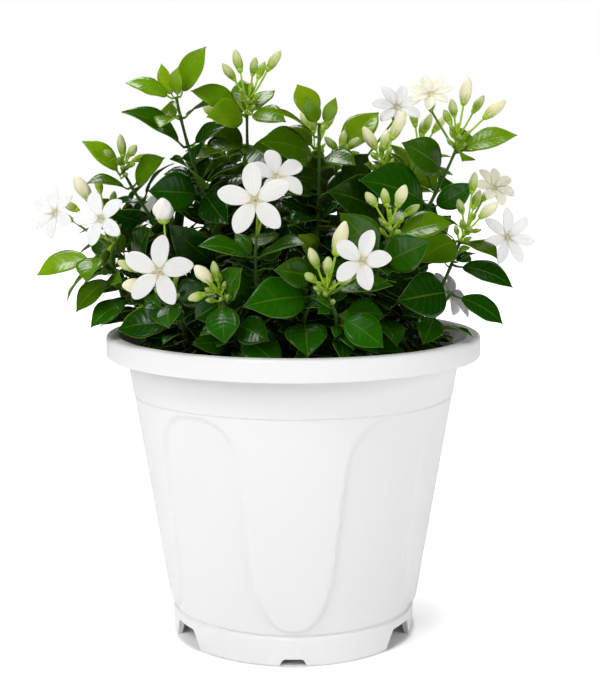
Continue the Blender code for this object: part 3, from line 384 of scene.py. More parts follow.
# The unseen side: angle round the pot, how far out it stands in the soil, reach and height.
BACK_SHOOTS = (
    (22, 70, 82, 174), (36, 60, 88, 258), (58, 70, 94, 214), (78, 40, 62, 258),
    (98, 68, 82, 238), (122, 46, 78, 268), (142, 70, 98, 218), (166, 74, 102, 236),
)


def stem_points(name):
    """A shoot's stem: straight up out of its hole, then through its nodes."""
    if name in SHOOTS:
        (x, y), nodes = SHOOTS[name]
        upper = [seen_at(*node) for node in nodes]
    else:
        angle, standing, reach, height = BACK_SHOOTS[int(name[-1])]
        out = Vector((math.cos(math.radians(angle)), math.sin(math.radians(angle)), 0))
        x, y = (out * standing).xy
        lean = reach - standing
        upper = []
        for share in (0.35, 0.7, 1.0):
            level = out * (standing + lean * share ** BACK_LEAN)
            upper.append(level + Vector((0, 0, SOIL_TOP + (height - SOIL_TOP) * share)))
    foot = Vector((x, y, SOIL_TOP - ROOT_DEPTH))
    return [foot, Vector((x, y, SOIL_TOP + SOIL_STRAIGHT))] + upper


def stem_radii(points):
    """Radius of a stem at each of its points."""
    last = len(points) - 1
    return [STEM_BASE + (STEM_TIP - STEM_BASE) * i / last for i in range(last + 1)]


back_names = [f"shoot_back_{i}" for i in range(len(BACK_SHOOTS))]
stems = {name: stem_points(name) for name in list(SHOOTS) + back_names}
for points in stems.values():
    crown.keep(tube_guard(points[1:], [r + 0.5 for r in stem_radii(points)[1:]], 5))
print(len(stems), "stems, the longest", round(max(map(path_length, stems.values()))), "mm")

# %% [markdown]
# ## Where the buds stand
# Each jasmine shoot ends in a cyme: one bud straight on and the others in pairs below it, each on
# its own thin stalk. The buds are read one by one off the photograph. Guards are kept for them
# before any leaf grows, since a leaf can be moved and a bud that shows can't.

# %% bud sprays in front
SPRAY_STALK = 0.8
STALK = 0.65                 # a bud's own stalk
PAIR_STEP = 2.4              # how far apart the pairs leave the spray's stalk

# Bud sprays: shoot that carries it, fork (x, height, depth), then the buds
# (x, height, depth, length, radius).
SPRAYS = {
    "spray_top": ("shoot_top", (-24, 294, -12), (
        (-35, 308, -22, 11, 2.3), (-30, 314, -8, 12, 2.5), (-21, 311, -22, 10, 2.2),
        (-17, 309, -4, 10, 2.1), (-10, 314, -14, 12, 2.5))),
    "spray_left_high": ("shoot_left_high", (-92, 259, -4), (
        (-100, 264, -14, 9, 1.9), (-93, 269, -6, 12, 2.4), (-87, 266, -16, 11, 2.3),
        (-82, 262, 0, 9, 2.0))),
    "spray_left": ("shoot_left_middle", (-101, 224, -16), (
        (-115, 246, -22, 15, 3.6), (-106, 248, -2, 10, 2.2), (-122, 236, -14, 10, 2.4),
        (-98, 240, -8, 9, 2.0))),
    "spray_right_top": ("shoot_right_top", (89, 274, -8), (
        (93, 298, -14, 14, 3.2), (109, 288, -10, 14, 3.0), (100, 291, -2, 11, 2.3),
        (86, 289, -20, 11, 2.3), (83, 284, 2, 10, 2.1))),
    "spray_right_inner": ("shoot_right_inner", (48, 261, -20), (
        (41, 273, -26, 14, 2.9), (50, 272, -12, 13, 2.7), (57, 280, -22, 16, 3.0))),
    "spray_middle_right": ("shoot_middle_right", (26, 264, -12), (
        (33, 270, -22, 11, 2.2), (27, 272, -8, 11, 2.2), (20, 270, -16, 10, 2.1))),
    "spray_centre_right": ("shoot_centre_right", (53, 226, -56), (
        (42, 240, -64, 9, 2.4), (50, 241, -52, 9, 2.3), (59, 242, -64, 12, 3.0),
        (65, 234, -56, 9, 2.1))),
    "spray_right": ("shoot_right", (95, 224, -16), (
        (98, 249, -22, 11, 2.3), (100, 240, -8, 11, 2.3), (107, 234, -18, 12, 3.1),
        (91, 236, -26, 10, 2.1))),
    "spray_front_right": ("shoot_front_right", (18, 191, -78), (
        (11, 208, -88, 12, 2.5), (19, 204, -92, 12, 2.4), (26, 219, -80, 17, 3.6),
        (9, 197, -92, 10, 2.1), (29, 196, -92, 10, 2.2))),
    "spray_front_left": ("shoot_front_left", (-41, 190, -76), (
        (-50, 199, -86, 14, 3.2), (-54, 186, -88, 10, 2.2), (-43, 201, -80, 10, 2.1))),
}

bud_sprays = {}


def add_bud(crown, buds, distance, start, axis, bud):
    """One bud on its own stalk, off the side of the spray's stalk or, where distance is None, off its end."""
    centre, length, radius = bud
    heading = (centre - start).normalized()
    base = centre - heading * length / 2
    tip = centre + heading * length / 2
    axis_point = start
    if distance is not None:
        start = start + square_to(heading, axis) * (SPRAY_STALK + 0.7)
    buds.append((axis_point, start, base, tip, radius))
    swollen = [start.lerp(base, 0.3)] + [base.lerp(tip, share) for share in (0, 0.4, 0.76, 1.05)]
    crown.keep(tube_guard(swollen, (1.3, 1.6, radius + 1.2, radius + 0.9, 0.4), 5))
    crown.watch(centre, radius + 3)


def grow_spray(name, shoot, fork, places):
    """A stalk that ends in one bud, with the others in pairs on its sides."""
    end, rising = along_path(stems[shoot], TO_THE_END)
    foot = end + rising * GAP
    points = [foot, foot + rising * 1.5, fork]
    axis = (fork - points[1]).normalized()
    length = path_length(points)
    buds = []
    waiting = sorted(places, key=lambda bud: -(bud[0] - fork).normalized().dot(axis))
    add_bud(crown, buds, None, fork, axis, waiting.pop(0))
    level = 0
    while waiting:
        pair = [waiting.pop(0)]
        if waiting:
            spot = square_to(pair[0][0] - fork, axis)
            partner = min(waiting, key=lambda bud: square_to(bud[0] - fork, axis).dot(spot))
            waiting.remove(partner)
            pair.append(partner)
        for bud in pair:
            place = min(level * PAIR_STEP, length - 4)
            add_bud(crown, buds, length - place, fork - axis * place, axis, bud)
        level += 1
    crown.keep(tube_guard([end + rising * 0.3, points[1], fork], (1.3, 1.4, 1.4), 4))
    bud_sprays[name] = (points, buds)


for name, (shoot, fork, buds) in SPRAYS.items():
    grow_spray(name, shoot, seen_at(*fork), [(seen_at(*bud[:3]), *bud[3:]) for bud in buds])
print(len(bud_sprays), "bud sprays in front")

# %% bud sprays on the far side
BACK_SPRAYS = (1, 3, 5)      # numbers of the shoots that end in one
BACK_BUDS = 4


def back_buds(index, fork, heading):
    """Buds spread evenly round the end of a shoot that isn't seen."""
    side, other = two_across(heading, (0, 0, 1))
    places = []
    for k in range(BACK_BUDS):
        spread = spoke(side, other, 2 * math.pi * k / BACK_BUDS + index)
        places.append((fork + heading * (15 + 3 * (k % 2)) + spread * 8, 11 + k % 3, 2.4))
    return places


for index in BACK_SPRAYS:
    end, heading = along_path(stems[f"shoot_back_{index}"], TO_THE_END)
    fork = end + heading * 9
    grow_spray(f"spray_back_{index}", f"shoot_back_{index}", fork, back_buds(index, fork, heading))
print(len(bud_sprays), "bud sprays in all")

# %% [markdown]
# ## Where the blooms open
# An open bloom is a narrow tube about 10 mm long whose end spreads into 5 to 9 petals. It stands on
# a twig that leaves its shoot at a node. The throat's place and the way it faces are read off the
# photograph; tube, calyx and twig follow from them, because they hardly show.

# %% blooms in front and behind
TWIG = 0.8
TUBE_LENGTH = 10.0
TUBE_RADIUS = 1.3
THROAT_RADIUS = 2.1
CALYX_RADIUS = 1.7
CALYX_LENGTH = 3.0
COLLAR = 0.9                 # height of the band round a throat that petals grow from

# Open blooms: shoot and node that carry it, throat (x, height, depth), facing direction,
# first petal's angle, petals, petal length, petal width.
BLOOMS = {
    "bloom_left": ("shoot_left_low", 1, (-74, 200, -78), (-0.2, -0.95, 0.2), 12, 5, 18, 9.5),
    "bloom_centre": ("shoot_centre_left", 2, (-21, 239, -88), (-0.1, -0.97, 0.2), 25, 5, 18, 9.5),
    "bloom_centre_back": ("shoot_centre_left", 2, (-9, 252, -68), (0.3, -0.75, 0.6), 22, 5, 15, 8.5),
    "bloom_far_left": ("shoot_left_middle", 2, (-105, 229, -50), (-0.3, -0.93, 0.2), 38, 5, 14.5, 7.5),
    "bloom_turned": ("shoot_left_middle", 2, (-130, 232, -30), (-0.5, -0.75, 0.3), 40, 6, 14, 7),
    "bloom_front_right": ("shoot_front_right", 1, (38, 206, -98), (-0.4, -0.88, 0.25), 4, 5, 15, 8.5),
    "bloom_far_right": ("shoot_right", 2, (117, 219, 4), (0.3, -0.94, 0.15), 348, 7, 16, 6.5),
    "bloom_pale": ("shoot_middle_right", 1, (56, 289, 16), (0.05, -0.85, 0.5), 20, 7, 14, 6.5),
    "bloom_upright": ("shoot_right_top", 3, (74, 296, 6), (-0.1, -0.75, 0.65), 10, 7, 12, 6),
    "bloom_yellow": ("shoot_right", 2, (109, 246, 10), (0.35, -0.75, 0.55), 20, 7, 12, 6),
}

# Blooms on the unseen side: shoot number and petals.
BACK_BLOOMS = ((0, 6), (2, 5), (4, 6), (6, 5))

bloom_twigs = {name: [] for name in stems}
open_blooms = {}


def grow_bloom(name, shoot, distance, throat, facing, first, count, length, width):
    """A twig and calyx, and a tube with petals round its throat."""
    start, rising = along_path(stems[shoot], distance)
    across = Vector((0, 0, 1)).cross(facing).normalized()
    upward = facing.cross(across)
    foot = throat - facing * TUBE_LENGTH
    end = foot - facing * GAP
    calyx = end - facing * CALYX_LENGTH
    start = start + square_to(calyx - start, rising) * STEM_TIP
    twig = [start, start.lerp(calyx, 0.25), start.lerp(calyx, 0.6), calyx, end]
    bloom_twigs[shoot].append([along_path(stems[shoot], distance)[0]] + twig)
    crown.keep(tube_guard([start.lerp(calyx, 0.12), calyx, end], (1.4, 1.4, 2.2), 4))
    crown.keep(tube_guard([foot, throat], (TUBE_RADIUS + 0.6, THROAT_RADIUS + 0.6), 5))
    petals = []
    for k in range(count):
        direction = spoke(across, upward, math.radians(first + 360 * k / count))
        root = throat + direction * THROAT_RADIUS * 0.6 - facing * COLLAR / 2
        tip = throat + direction * length + facing * (1.5 if k % 2 else 2.5)
        petals.append(Leaf(root, tip, width, facing, 0.06))
        crown.keep(petals[-1].guard(0.8))
    crown.watch(throat, length + 2)
    open_blooms[name] = (foot, throat, facing, petals)


for name, (shoot, node, throat, facing, first, petals, length, width) in BLOOMS.items():
    distance = path_length(stems[shoot][:node + 3])
    facing = Vector(facing).normalized()
    grow_bloom(name, shoot, distance, seen_at(*throat), facing, first, petals, length, width)
for index, petals in BACK_BLOOMS:
    end, heading = along_path(stems[f"shoot_back_{index}"], TO_THE_END)
    facing = (outward(end) + heading * 0.6 + Vector((0, 0, 0.2))).normalized()
    throat = end + facing * (TUBE_LENGTH + 8)
    grow_bloom(f"bloom_back_{index}", f"shoot_back_{index}", TO_THE_END, throat, facing,
               20 * index, petals, 16, 50 / petals)
print(len(open_blooms), "blooms with", sum(len(bloom[3]) for bloom in open_blooms.values()), "petals")

# %% [markdown]
# ## Leaves that show
# These leaves give the bush its outline, so each is read off the photograph: the node it grows
# from, its tip, its width as seen and how far it faces the eye. Where one would cross what stands
# already, it is slid along the line of sight first, because that doesn't change the picture, then
# turned a little, then made smaller.

# %% the table of leaves
PETIOLE_START = 1.7          # how far off the stem's side a leaf stalk is clear of it
FULLEST_LEAF = 0.59          # the widest a leaf is for its length
LEAST_SHOWN = 0.3            # how much of a turned leaf's width must show for it to be read
SHIFTS = (0, 4, -4, 8, -8, 12, -12, 16, -16, 22, -22, 28, -28)     # millimetres along the line of sight
SHRINKS = (1, 0.85, 0.7)
TURNS = (0, 0.25, -0.25)

# For each shoot its leaves: node, tip (x, height, depth), width, and how far the leaf faces
# outwards (1) and not upwards (0).
LEAVES = {
    "shoot_left_top": (
        (4, (-47, 321, -24), 12, 0.8), (4, (-90, 302, -24), 11, 0.5), (4, (-71, 312, -12), 7, 0.8),
        (4, (-62, 310, -30), 6, 0.8), (3, (-72, 278, -42), 9, 0.5), (2, (-92, 287, -34), 16, 0.7),
        (2, (-36, 279, -24), 14, 0.5), (1, (-79, 244, -34), 21, 0.9), (1, (-66, 262, -46), 15, 0.6),
        (1, (-36, 226, -40), 14, 0.8), (0, (-68, 226, -26), 16, 0.8),),
    "shoot_top": (
        (3, (-55, 298, -20), 12, 0.6), (3, (-46, 284, -26), 12, 0.7), (2, (-48, 264, -30), 17, 0.8),
        (2, (-3, 254, -46), 14, 0.7), (3, (-4, 281, -26), 10, 0.5), (3, (-28, 304, -2), 11, 0.7),
        (3, (-10, 298, 2), 12, 0.7),),
    "shoot_top_middle": (
        (4, (23, 294, -32), 7, 0.9), (4, (7, 294, -36), 7, 0.9), (4, (2, 301, -16), 12, 0.5),
        (3, (-14, 287, -40), 11, 0.5), (2, (-18, 271, -46), 14, 0.6), (2, (34, 258, -44), 13, 0.6),),
    "shoot_middle_right": (
        (2, (46, 286, -20), 14, 0.7),),
    "shoot_right_inner": (
        (1, (20, 244, -52), 20, 0.8),),
    "shoot_right_top": (
        (3, (121, 274, -12), 11, 0.6), (2, (59, 270, -26), 20, 0.9), (1, (98, 248, -14), 13, 0.6),
        (1, (36, 250, -48), 15, 0.5),),
    "shoot_right": (
        (1, (121, 192, -24), 15, 0.5), (2, (67, 206, -40), 15, 0.6), (2, (112, 208, -34), 11, 0.4),),
    "shoot_right_low": (
        (1, (116, 171, -46), 14, 0.5), (1, (58, 184, -66), 24, 0.8), (0, (72, 160, -62), 13, 0.5),),
    "shoot_centre_right": (
        (2, (87, 227, -54), 13, 0.5), (1, (74, 216, -70), 20, 0.8), (1, (26, 232, -70), 17, 0.8),),
    "shoot_front_right": (
        (0, (50, 158, -82), 18, 0.7), (0, (50, 176, -86), 15, 0.6), (1, (55, 193, -84), 13, 0.6),),
    "shoot_front": (
        (1, (-27, 181, -88), 20, 0.7), (0, (8, 153, -84), 21, 0.8), (2, (-10, 201, -86), 14, 0.8),),
    "shoot_front_left": (
        (1, (-38, 160, -84), 17, 0.9), (1, (-54, 174, -86), 15, 0.7), (1, (-28, 202, -88), 16, 0.8),
        (0, (-14, 162, -82), 16, 0.7),),
    "shoot_left_low": (
        (1, (-69, 169, -80), 16, 0.9), (0, (-97, 168, -52), 15, 0.6), (1, (-48, 192, -82), 15, 0.7),),
    "shoot_left": (
        (3, (-141, 198, -34), 14, 0.5), (2, (-120, 178, -36), 12, 0.6), (1, (-112, 169, -40), 13, 0.6),
        (3, (-114, 195, -50), 9, 0.6),),
    "shoot_left_middle": (
        (1, (-78, 224, -32), 15, 0.7),),
    "shoot_left_high": (
        (1, (-101, 234, -24), 13, 0.8), (3, (-114, 271, -8), 10, 0.7), (2, (-112, 249, -16), 10, 0.5),
        (2, (-70, 262, -20), 12, 0.7),),
    "shoot_centre_left": (
        (1, (-52, 214, -76), 13, 0.4), (1, (6, 216, -82), 15, 0.6), (0, (-44, 196, -72), 15, 0.6),),
}

# %% placing them
stem_leaves = {name: [] for name in stems}


def take(shoot, distance, leaf):
    """Lets a leaf stand on its shoot."""
    crown.keep(leaf.guard())
    stem_leaves[shoot].append((distance, leaf))


def seen_face(root, end, lean):
    """A seen leaf faces up, outwards and towards the eye."""
    forward = outward(root.lerp(end, 0.5)) * 0.35 + Vector((0, -0.65, 0))
    return Vector((0, 0, 1)) * (1 - lean) + forward * lean


def true_width(leaf):
    """The width of a turned leaf that shows as wide as it was read."""
    sight = (leaf.point(0.5, 0) - Vector((0, -EYE_DISTANCE, EYE_HEIGHT))).normalized()
    shown = max(abs(leaf.face.dot(sight)), LEAST_SHOWN)
    return max(min(leaf.width / shown, leaf.length * FULLEST_LEAF), leaf.width)


def seen_leaf(shoot, node, tip, width, lean):
    """The first stand of a leaf that is clear: its distance up the stem and the leaf, or None."""
    root = stems[shoot][node + 2]
    distance = path_length(stems[shoot][:node + 3])
    heading = along_path(stems[shoot], distance)[1]
    for shrink, shift, turn in itertools.product(SHRINKS, SHIFTS, TURNS):
        end = root.lerp(seen_at(tip[0], tip[1], tip[2] + shift), shrink)
        start = root + square_to(end - root, heading) * (STEM_TIP + PETIOLE_START)
        leaf = Leaf(start, end, width * shrink, seen_face(root, end, lean + turn), 0.09)
        leaf.width = true_width(leaf)
        if crown.is_clear(leaf.guard()):
            return distance, leaf


seen = []
for shoot, rows in LEAVES.items():
    for row in rows:
        found = seen_leaf(shoot, *row)
        if found:
            take(shoot, *found)
            seen.append(found[1])
for leaf in seen:
    for share in (0.35, 0.6, 0.85):
        crown.watch(leaf.point(share, 0), leaf.width / 2)
print(len(seen), "leaves stand as the photograph shows them")

# %% [markdown]
# ## The other leaves
# Jasmine carries its leaves in opposite pairs, each pair turned a quarter from the one below. The
# rest of the bush follows that habit. Seeded draws vary size and rise, so that no two leaves are
# alike and yet every run gives the same plant. A leaf that would hide one that shows isn't grown.

# %% opposite pairs up every stem
LEAF_SPACING = 21.5
CROWN_SIDE = 128.0           # how far the bush reaches to each side, to front and back, and up
CROWN_DEPTH = 104.0
CROWN_TOP = 296.0
SEED = 11
SWINGS = (0, 0.35, -0.35, 0.7, -0.7, 1.05, -1.05)      # radians that a leaf may be turned round its stem
LIFTS = (0, 0.4, -0.4)
LEAF_HINT = (0.2, 1.0, 0.1)

seeded = random.Random(SEED)


def leaf_face(root, end, lean):
    """An unseen leaf faces up and outwards."""
    return Vector((0, 0, 1)) * (1 - lean) + outward(root.lerp(end, 0.5)) * lean


def suits(leaf, spare):
    """Inside the crown, hiding nothing that shows, and clear of the rest."""
    tip = leaf.tip
    if abs(tip.x) > CROWN_SIDE or abs(tip.y) > CROWN_DEPTH or tip.z > CROWN_TOP:
        return False
    return not crown.hides_a_seen_piece(leaf) and crown.is_clear(leaf.guard(spare))


def try_leaf(shoot, distance, root, heading, turn, older):
    """One leaf of a pair, turned, raised or made smaller until it is clear."""
    size = 27 + 9 * older + seeded.uniform(-2, 3)
    rise = seeded.uniform(0.15, 0.75)
    side, other = two_across(heading, LEAF_HINT)
    for scale, swing, lift in itertools.product((1.0, 0.8), SWINGS, LIFTS):
        out = spoke(side, other, turn + swing)
        tip = root + (out + heading * (rise + lift)).normalized() * size * scale
        tip.z -= size * 0.12
        start = root + out * (STEM_TIP + (STEM_BASE - STEM_TIP) * older + PETIOLE_START)
        leaf = Leaf(start, tip, size * scale * 0.58, leaf_face(root, tip, 0.45), 0.10)
        if suits(leaf, 1.0):
            take(shoot, distance, leaf)
            return


for shoot, points in stems.items():
    length = path_length(points)
    distance = ROOT_DEPTH + 11
    quarter = seeded.uniform(0, math.pi)
    while distance < length:
        root, heading = along_path(points, distance)
        for half in (0, math.pi):
            try_leaf(shoot, distance, root, heading, quarter + half, 1 - distance / length)
        quarter += math.pi / 2 + seeded.uniform(-0.2, 0.2)
        distance += LEAF_SPACING * seeded.uniform(0.85, 1.15)
print(sum(map(len, stem_leaves.values())), "leaves stand where the CAD has them")

# %% [markdown]
# ## Small inner leaves
# A real bush is closed by many small leaves on short side shoots. They are only looks, so they are
# grown here and not in the CAD. They start from the same stems between the pairs, and keep clear of
# all that stands.

# %% side-shoot leaves
INNER_ROUNDS = 8
INNER_STEP = (5, 9)          # millimetres of stem between the places where one is tried
INNER_SIZE = (15, 28)
FAR_SIZE = (20, 38)          # behind the pot's mid plane, where they close the gaps between stems
INNER_SPARE = 0.35           # how much their stand-ins are swollen
BARE_TIP = 42                # millimetres below the tip of a tall shoot that stay bare between the pairs
TALL = 215                   # height above which a shoot's tip is thin and bare


def inner_leaf(root, heading, turn, older):
    """One small leaf, in the first of a few directions that is clear, or none."""
    side, other = two_across(heading, LEAF_HINT)
    for attempt in range(4):
        size = seeded.uniform(*(FAR_SIZE if root.y > -5 else INNER_SIZE)) * (1 - 0.1 * attempt)
        size *= 0.7 + 0.3 * min(older * 3, 1)
        out = spoke(side, other, turn + seeded.uniform(-1, 1))
        direction = (out + heading * seeded.uniform(-0.1, 1.0)).normalized()
        start = root + out * (STEM_TIP + (STEM_BASE - STEM_TIP) * older + PETIOLE_START * 0.6)
        tip = start + direction * size
        face = leaf_face(root, tip, seeded.uniform(0.2, 0.75))
        leaf = Leaf(start, tip, size * seeded.uniform(0.54, 0.64), face, 0.10)
        if suits(leaf, INNER_SPARE):
            return leaf
    return None


inner_leaves = {name: [] for name in stems}
for _ in range(INNER_ROUNDS):
    for shoot, points in stems.items():
        length = path_length(points)
        bare = BARE_TIP * (0.07 if points[-1].y > 0 else min(max((points[-1].z - TALL) / 40, 0.07), 1))
        distance = ROOT_DEPTH + seeded.uniform(4, 10)
        while distance < length - bare:
            root, heading = along_path(points, distance)
            for turn in (0, 2.1, 4.2):
                leaf = inner_leaf(root, heading, turn, 1 - distance / length)
                if leaf:
                    crown.keep(leaf.guard(INNER_SPARE))
                    inner_leaves[shoot].append((distance, leaf))
            distance += seeded.uniform(*INNER_STEP)
print(sum(map(len, inner_leaves.values())), "small inner leaves added")

# %% [markdown]
# ## Three buds beside the left bloom
# The left bloom doesn't stand alone: its stalk also carries a half-open bud above it and two buds
# to its left. They are small, so only this scene has them. Small leaves that would cross or hide
# one are taken away again, which is simpler than growing the bush anew round them.

# %% buds on the left bloom's stalk
BESIDE_BLOOM = (             # centre (x, height, depth), length, radius
    (-71, 234, -66, 12, 4.9), (-88.5, 192.5, -71, 11, 3.6), (-91.5, 203.5, -73, 11, 2.4))

bloom_stalk = bloom_twigs["shoot_left_low"][0]
stalk_axis = (bloom_stalk[4] - bloom_stalk[3]).normalized()
bud_crown = Crown()
beside_buds = []
for *place, length, radius in BESIDE_BLOOM:
    add_bud(bud_crown, beside_buds, None, bloom_stalk[3], stalk_axis, (seen_at(*place), length, radius))
before = sum(map(len, inner_leaves.values()))
for shoot, grown in inner_leaves.items():
    inner_leaves[shoot] = [(distance, leaf) for distance, leaf in grown
                           if bud_crown.is_clear(leaf.guard(INNER_SPARE))
                           and not bud_crown.hides_a_seen_piece(leaf)]
print(before - sum(map(len, inner_leaves.values())), "small leaves taken away for the buds")

# %% [markdown]
# ## Finishes
# A colour is written as it looks on a screen and turned to light values by one function. Each
# finish is a single principled surface. What is the same all over goes straight onto its sockets;
# patterns run in the piece's own UV map, or in object coordinates, which are metres. Painted
# pictures could do the same, but a pattern made of nodes stays sharp at any distance, and its scale
# comes from a real length.

# %% colour and node helpers
def linear(code):
    """Light values of a colour written as on a screen, such as #3a7a1e."""
    channels = [int(code[i:i + 2], 16) / 255 for i in (1, 3, 5)]
    return tuple(c / 12.92 if c <= 0.04045 else ((c + 0.055) / 1.055) ** 2.4 for c in channels) + (1.0,)


def per_metre(length):
    """A pattern's scale in object coordinates, from the size of one patch in millimetres."""
    return 1 / (length * MM)


def add_node(tree, kind, links=None, output=0, **settings):
    """Adds a shader node with settings and links (a value or a socket for each input), gives one output."""
    made = tree.nodes.new("ShaderNode" + kind)
    for key, value in settings.items():
        setattr(made, key, value)
    for socket, value in (links or {}).items():
        if isinstance(value, bpy.types.NodeSocket):
            tree.links.new(value, made.inputs[socket])
        else:
            made.inputs[socket].default_value = value
    return made.outputs[output]


def new_finish(name, sockets):
    """A principled material, the same all over so far, and what adds nodes to its tree."""
    material = bpy.data.materials.new(name)
    material.use_nodes = True
    shader = material.node_tree.nodes["Principled BSDF"]
    for socket, value in sockets.items():
        shader.inputs[socket].default_value = value
    return material, shader, partial(add_node, material.node_tree)


def link_patterns(material, shader, **sockets):
    """Links patterns to the surface's own sockets."""
    for socket, value in sockets.items():
        material.node_tree.links.new(value, shader.inputs[socket.replace("_", " ")])


COLOURS = {"data_type": "RGBA", "output": 2}       # a Mix node of colours: share 0, colours 6 and 7
SOFT = {"interpolation_type": "SMOOTHSTEP"}        # a Map Range node that eases in and out
TWO, THREE = slice(0, 2), slice(0, 3)              # the first outputs of a node
TONE = {"attribute_name": "tone"}                  # the piece's own tone: three numbers for every corner

# %% [markdown]
# ### Leaf
# A jasmine leaf is leathery and waxed above, paler and duller below. Its side veins hardly differ
# in colour: they show as faint channels that break the gloss into patches. Young leaves are
# yellow-green and let light through, old ones are deep green, and the edge and midrib are thin pale
# lines. The veins are drawn from the blade's UV map, so they bend with every leaf; cutting them
# into each blade would take far more faces.

# %% where the veins run
SIDE_VEINS = 6
VEIN_SWEEP = 1.5             # how far forward a side vein has run when it reaches the edge, in vein spacings
VEIN_CURVE = 1.35            # power of its curve
MOTTLE = 5.88                # patches of lighter and darker green, millimetres
BLISTER = 7.69               # the blade's slow unevenness, millimetres


def vein_lines(node, across, along):
    """How near a place is to the leaf's edge, its midrib and its side veins."""
    off_middle = node("Math", {0: node("Math", {0: across, 1: 2.0, 2: -1.0}, operation="MULTIPLY_ADD")},
                      operation="ABSOLUTE")
    curve = node("Math", {0: off_middle, 1: VEIN_CURVE}, operation="POWER")
    swept = node("Math", {0: curve, 1: VEIN_SWEEP}, operation="MULTIPLY")
    spaced = node("Math", {0: along, 1: SIDE_VEINS + 1.5}, operation="MULTIPLY")
    run = node("Math", {0: spaced, 1: swept}, operation="SUBTRACT")
    run = node("Math", {0: run, 1: 10.0}, operation="ADD")
    phase = node("Math", {0: node("Math", {0: run}, operation="FRACT"), 1: 0.5}, operation="SUBTRACT")
    off_half = node("Math", {0: phase}, operation="ABSOLUTE")
    from_vein = node("Math", {0: off_half, 1: 2.0}, operation="MULTIPLY")
    off_rib = node("MapRange", {"Value": off_middle, "From Min": 0.015, "From Max": 0.06}, **SOFT)
    return off_middle, node("Math", {0: 1.0, 1: off_rib}, operation="SUBTRACT"), from_vein


# %% leaf finish
def leaf_finish(name, sockets, paler):
    """A leaf's skin: its green by age and luck, with painted shade deep in the bush, its veins, edge and dry
    tip.
    """
    material, shader, node = new_finish(name, sockets)
    across, along = node("SeparateXYZ", {0: node("UVMap")}, TWO)
    age, luck, shade = node("SeparateColor", {0: node("Attribute", **TONE)}, THREE)
    place = node("TexCoord", output="Object")
    off_middle, midrib, from_vein = vein_lines(node, across, along)
    side_vein = node("MapRange", {"Value": from_vein, "From Min": 0.80, "From Max": 0.98}, **SOFT)
    edge = node("MapRange", {"Value": off_middle, "From Min": 0.95, "From Max": 1.0}, **SOFT)
    dry = node("MapRange", {"Value": along, "From Min": 0.955, "From Max": 1.0}, **SOFT)
    aged = node("MapRange", {"Value": age, "From Min": 0.05, "From Max": 0.88}, **SOFT)
    mottle = node("TexNoise", {"Vector": place, "Scale": per_metre(MOTTLE), "Detail": 2.0})
    rib_share = node("Math", {0: midrib, 1: 0.15}, operation="MULTIPLY")
    side_share = node("Math", {0: side_vein, 1: 0.04}, operation="MULTIPLY")
    veins = node("Math", {0: rib_share, 1: side_share}, operation="MAXIMUM")
    young = node("Mix", {0: luck, 6: linear("#7aae06"), 7: linear("#a4ce12")}, **COLOURS)
    old = node("Mix", {0: luck, 6: linear("#0d3600"), 7: linear("#216000")}, **COLOURS)
    green = node("Mix", {0: aged, 6: young, 7: old}, **COLOURS)
    # The tone's third number is painted shade: it darkens a leaf towards #041500 deep and low in the bush.
    for share, amount, tint in ((mottle, 0.4, "#0d3000"), (veins, 1.0, "#9dc03c"), (edge, 0.25, "#9cbe40"),
                                (shade, 1.0, "#041500"), (dry, 0.65, "#3a3214")):
        part = node("Math", {0: share, 1: amount}, operation="MULTIPLY")
        green = node("Mix", {0: part, 6: green, 7: linear(tint)}, **COLOURS)
    if paler:
        green = node("Mix", {0: paler, 6: green, 7: linear("#7ea03c")}, **COLOURS)
    sunk = node("Math", {0: from_vein, 1: 2.0}, operation="POWER")
    swell = node("Math", {0: 1.0, 1: sunk}, operation="SUBTRACT")
    swell = node("Math", {0: swell, 1: 0.30}, operation="MULTIPLY")
    groove = node("Math", {0: midrib, 1: 0.5}, operation="MULTIPLY")
    relief = node("Math", {0: swell, 1: groove}, operation="SUBTRACT")
    uneven = node("TexNoise", {"Vector": place, "Scale": per_metre(BLISTER), "Detail": 0.0})
    relief = node("Math", {0: uneven, 1: 1.6, 2: relief}, operation="MULTIPLY_ADD")
    bump = node("Bump", {"Height": relief, "Distance": 0.0006, "Strength": 0.3})
    link_patterns(material, shader, Base_Color=green, Normal=bump)
    return material


# A living leaf's upper skin is waxed: a tight gloss over the green. Its underside is matt and greyer.
leaf_top = leaf_finish("waxed_leaf_top", {
    "Roughness": 0.20, "IOR": 1.45, "Specular IOR Level": 0.5}, 0)
leaf_under = leaf_finish("matt_leaf_underside", {
    "Roughness": 0.6, "IOR": 1.45, "Specular IOR Level": 0.2}, 0.25)
print("leaf finishes:", leaf_top.name, leaf_under.name)

# %% [markdown]
# ### Stems
# Young stems and stalks are green and satin; towards the soil they turn to olive-brown bark. One
# finish blends the three by the stem's age, so no seam shows where green wood becomes bark. Its
# grain is a noise that is drawn out along the stem.

# %% stem finish
GRAIN_ACROSS = 1.11          # the fibres of skin and bark, millimetres across and along the stem
GRAIN_ALONG = 8.33


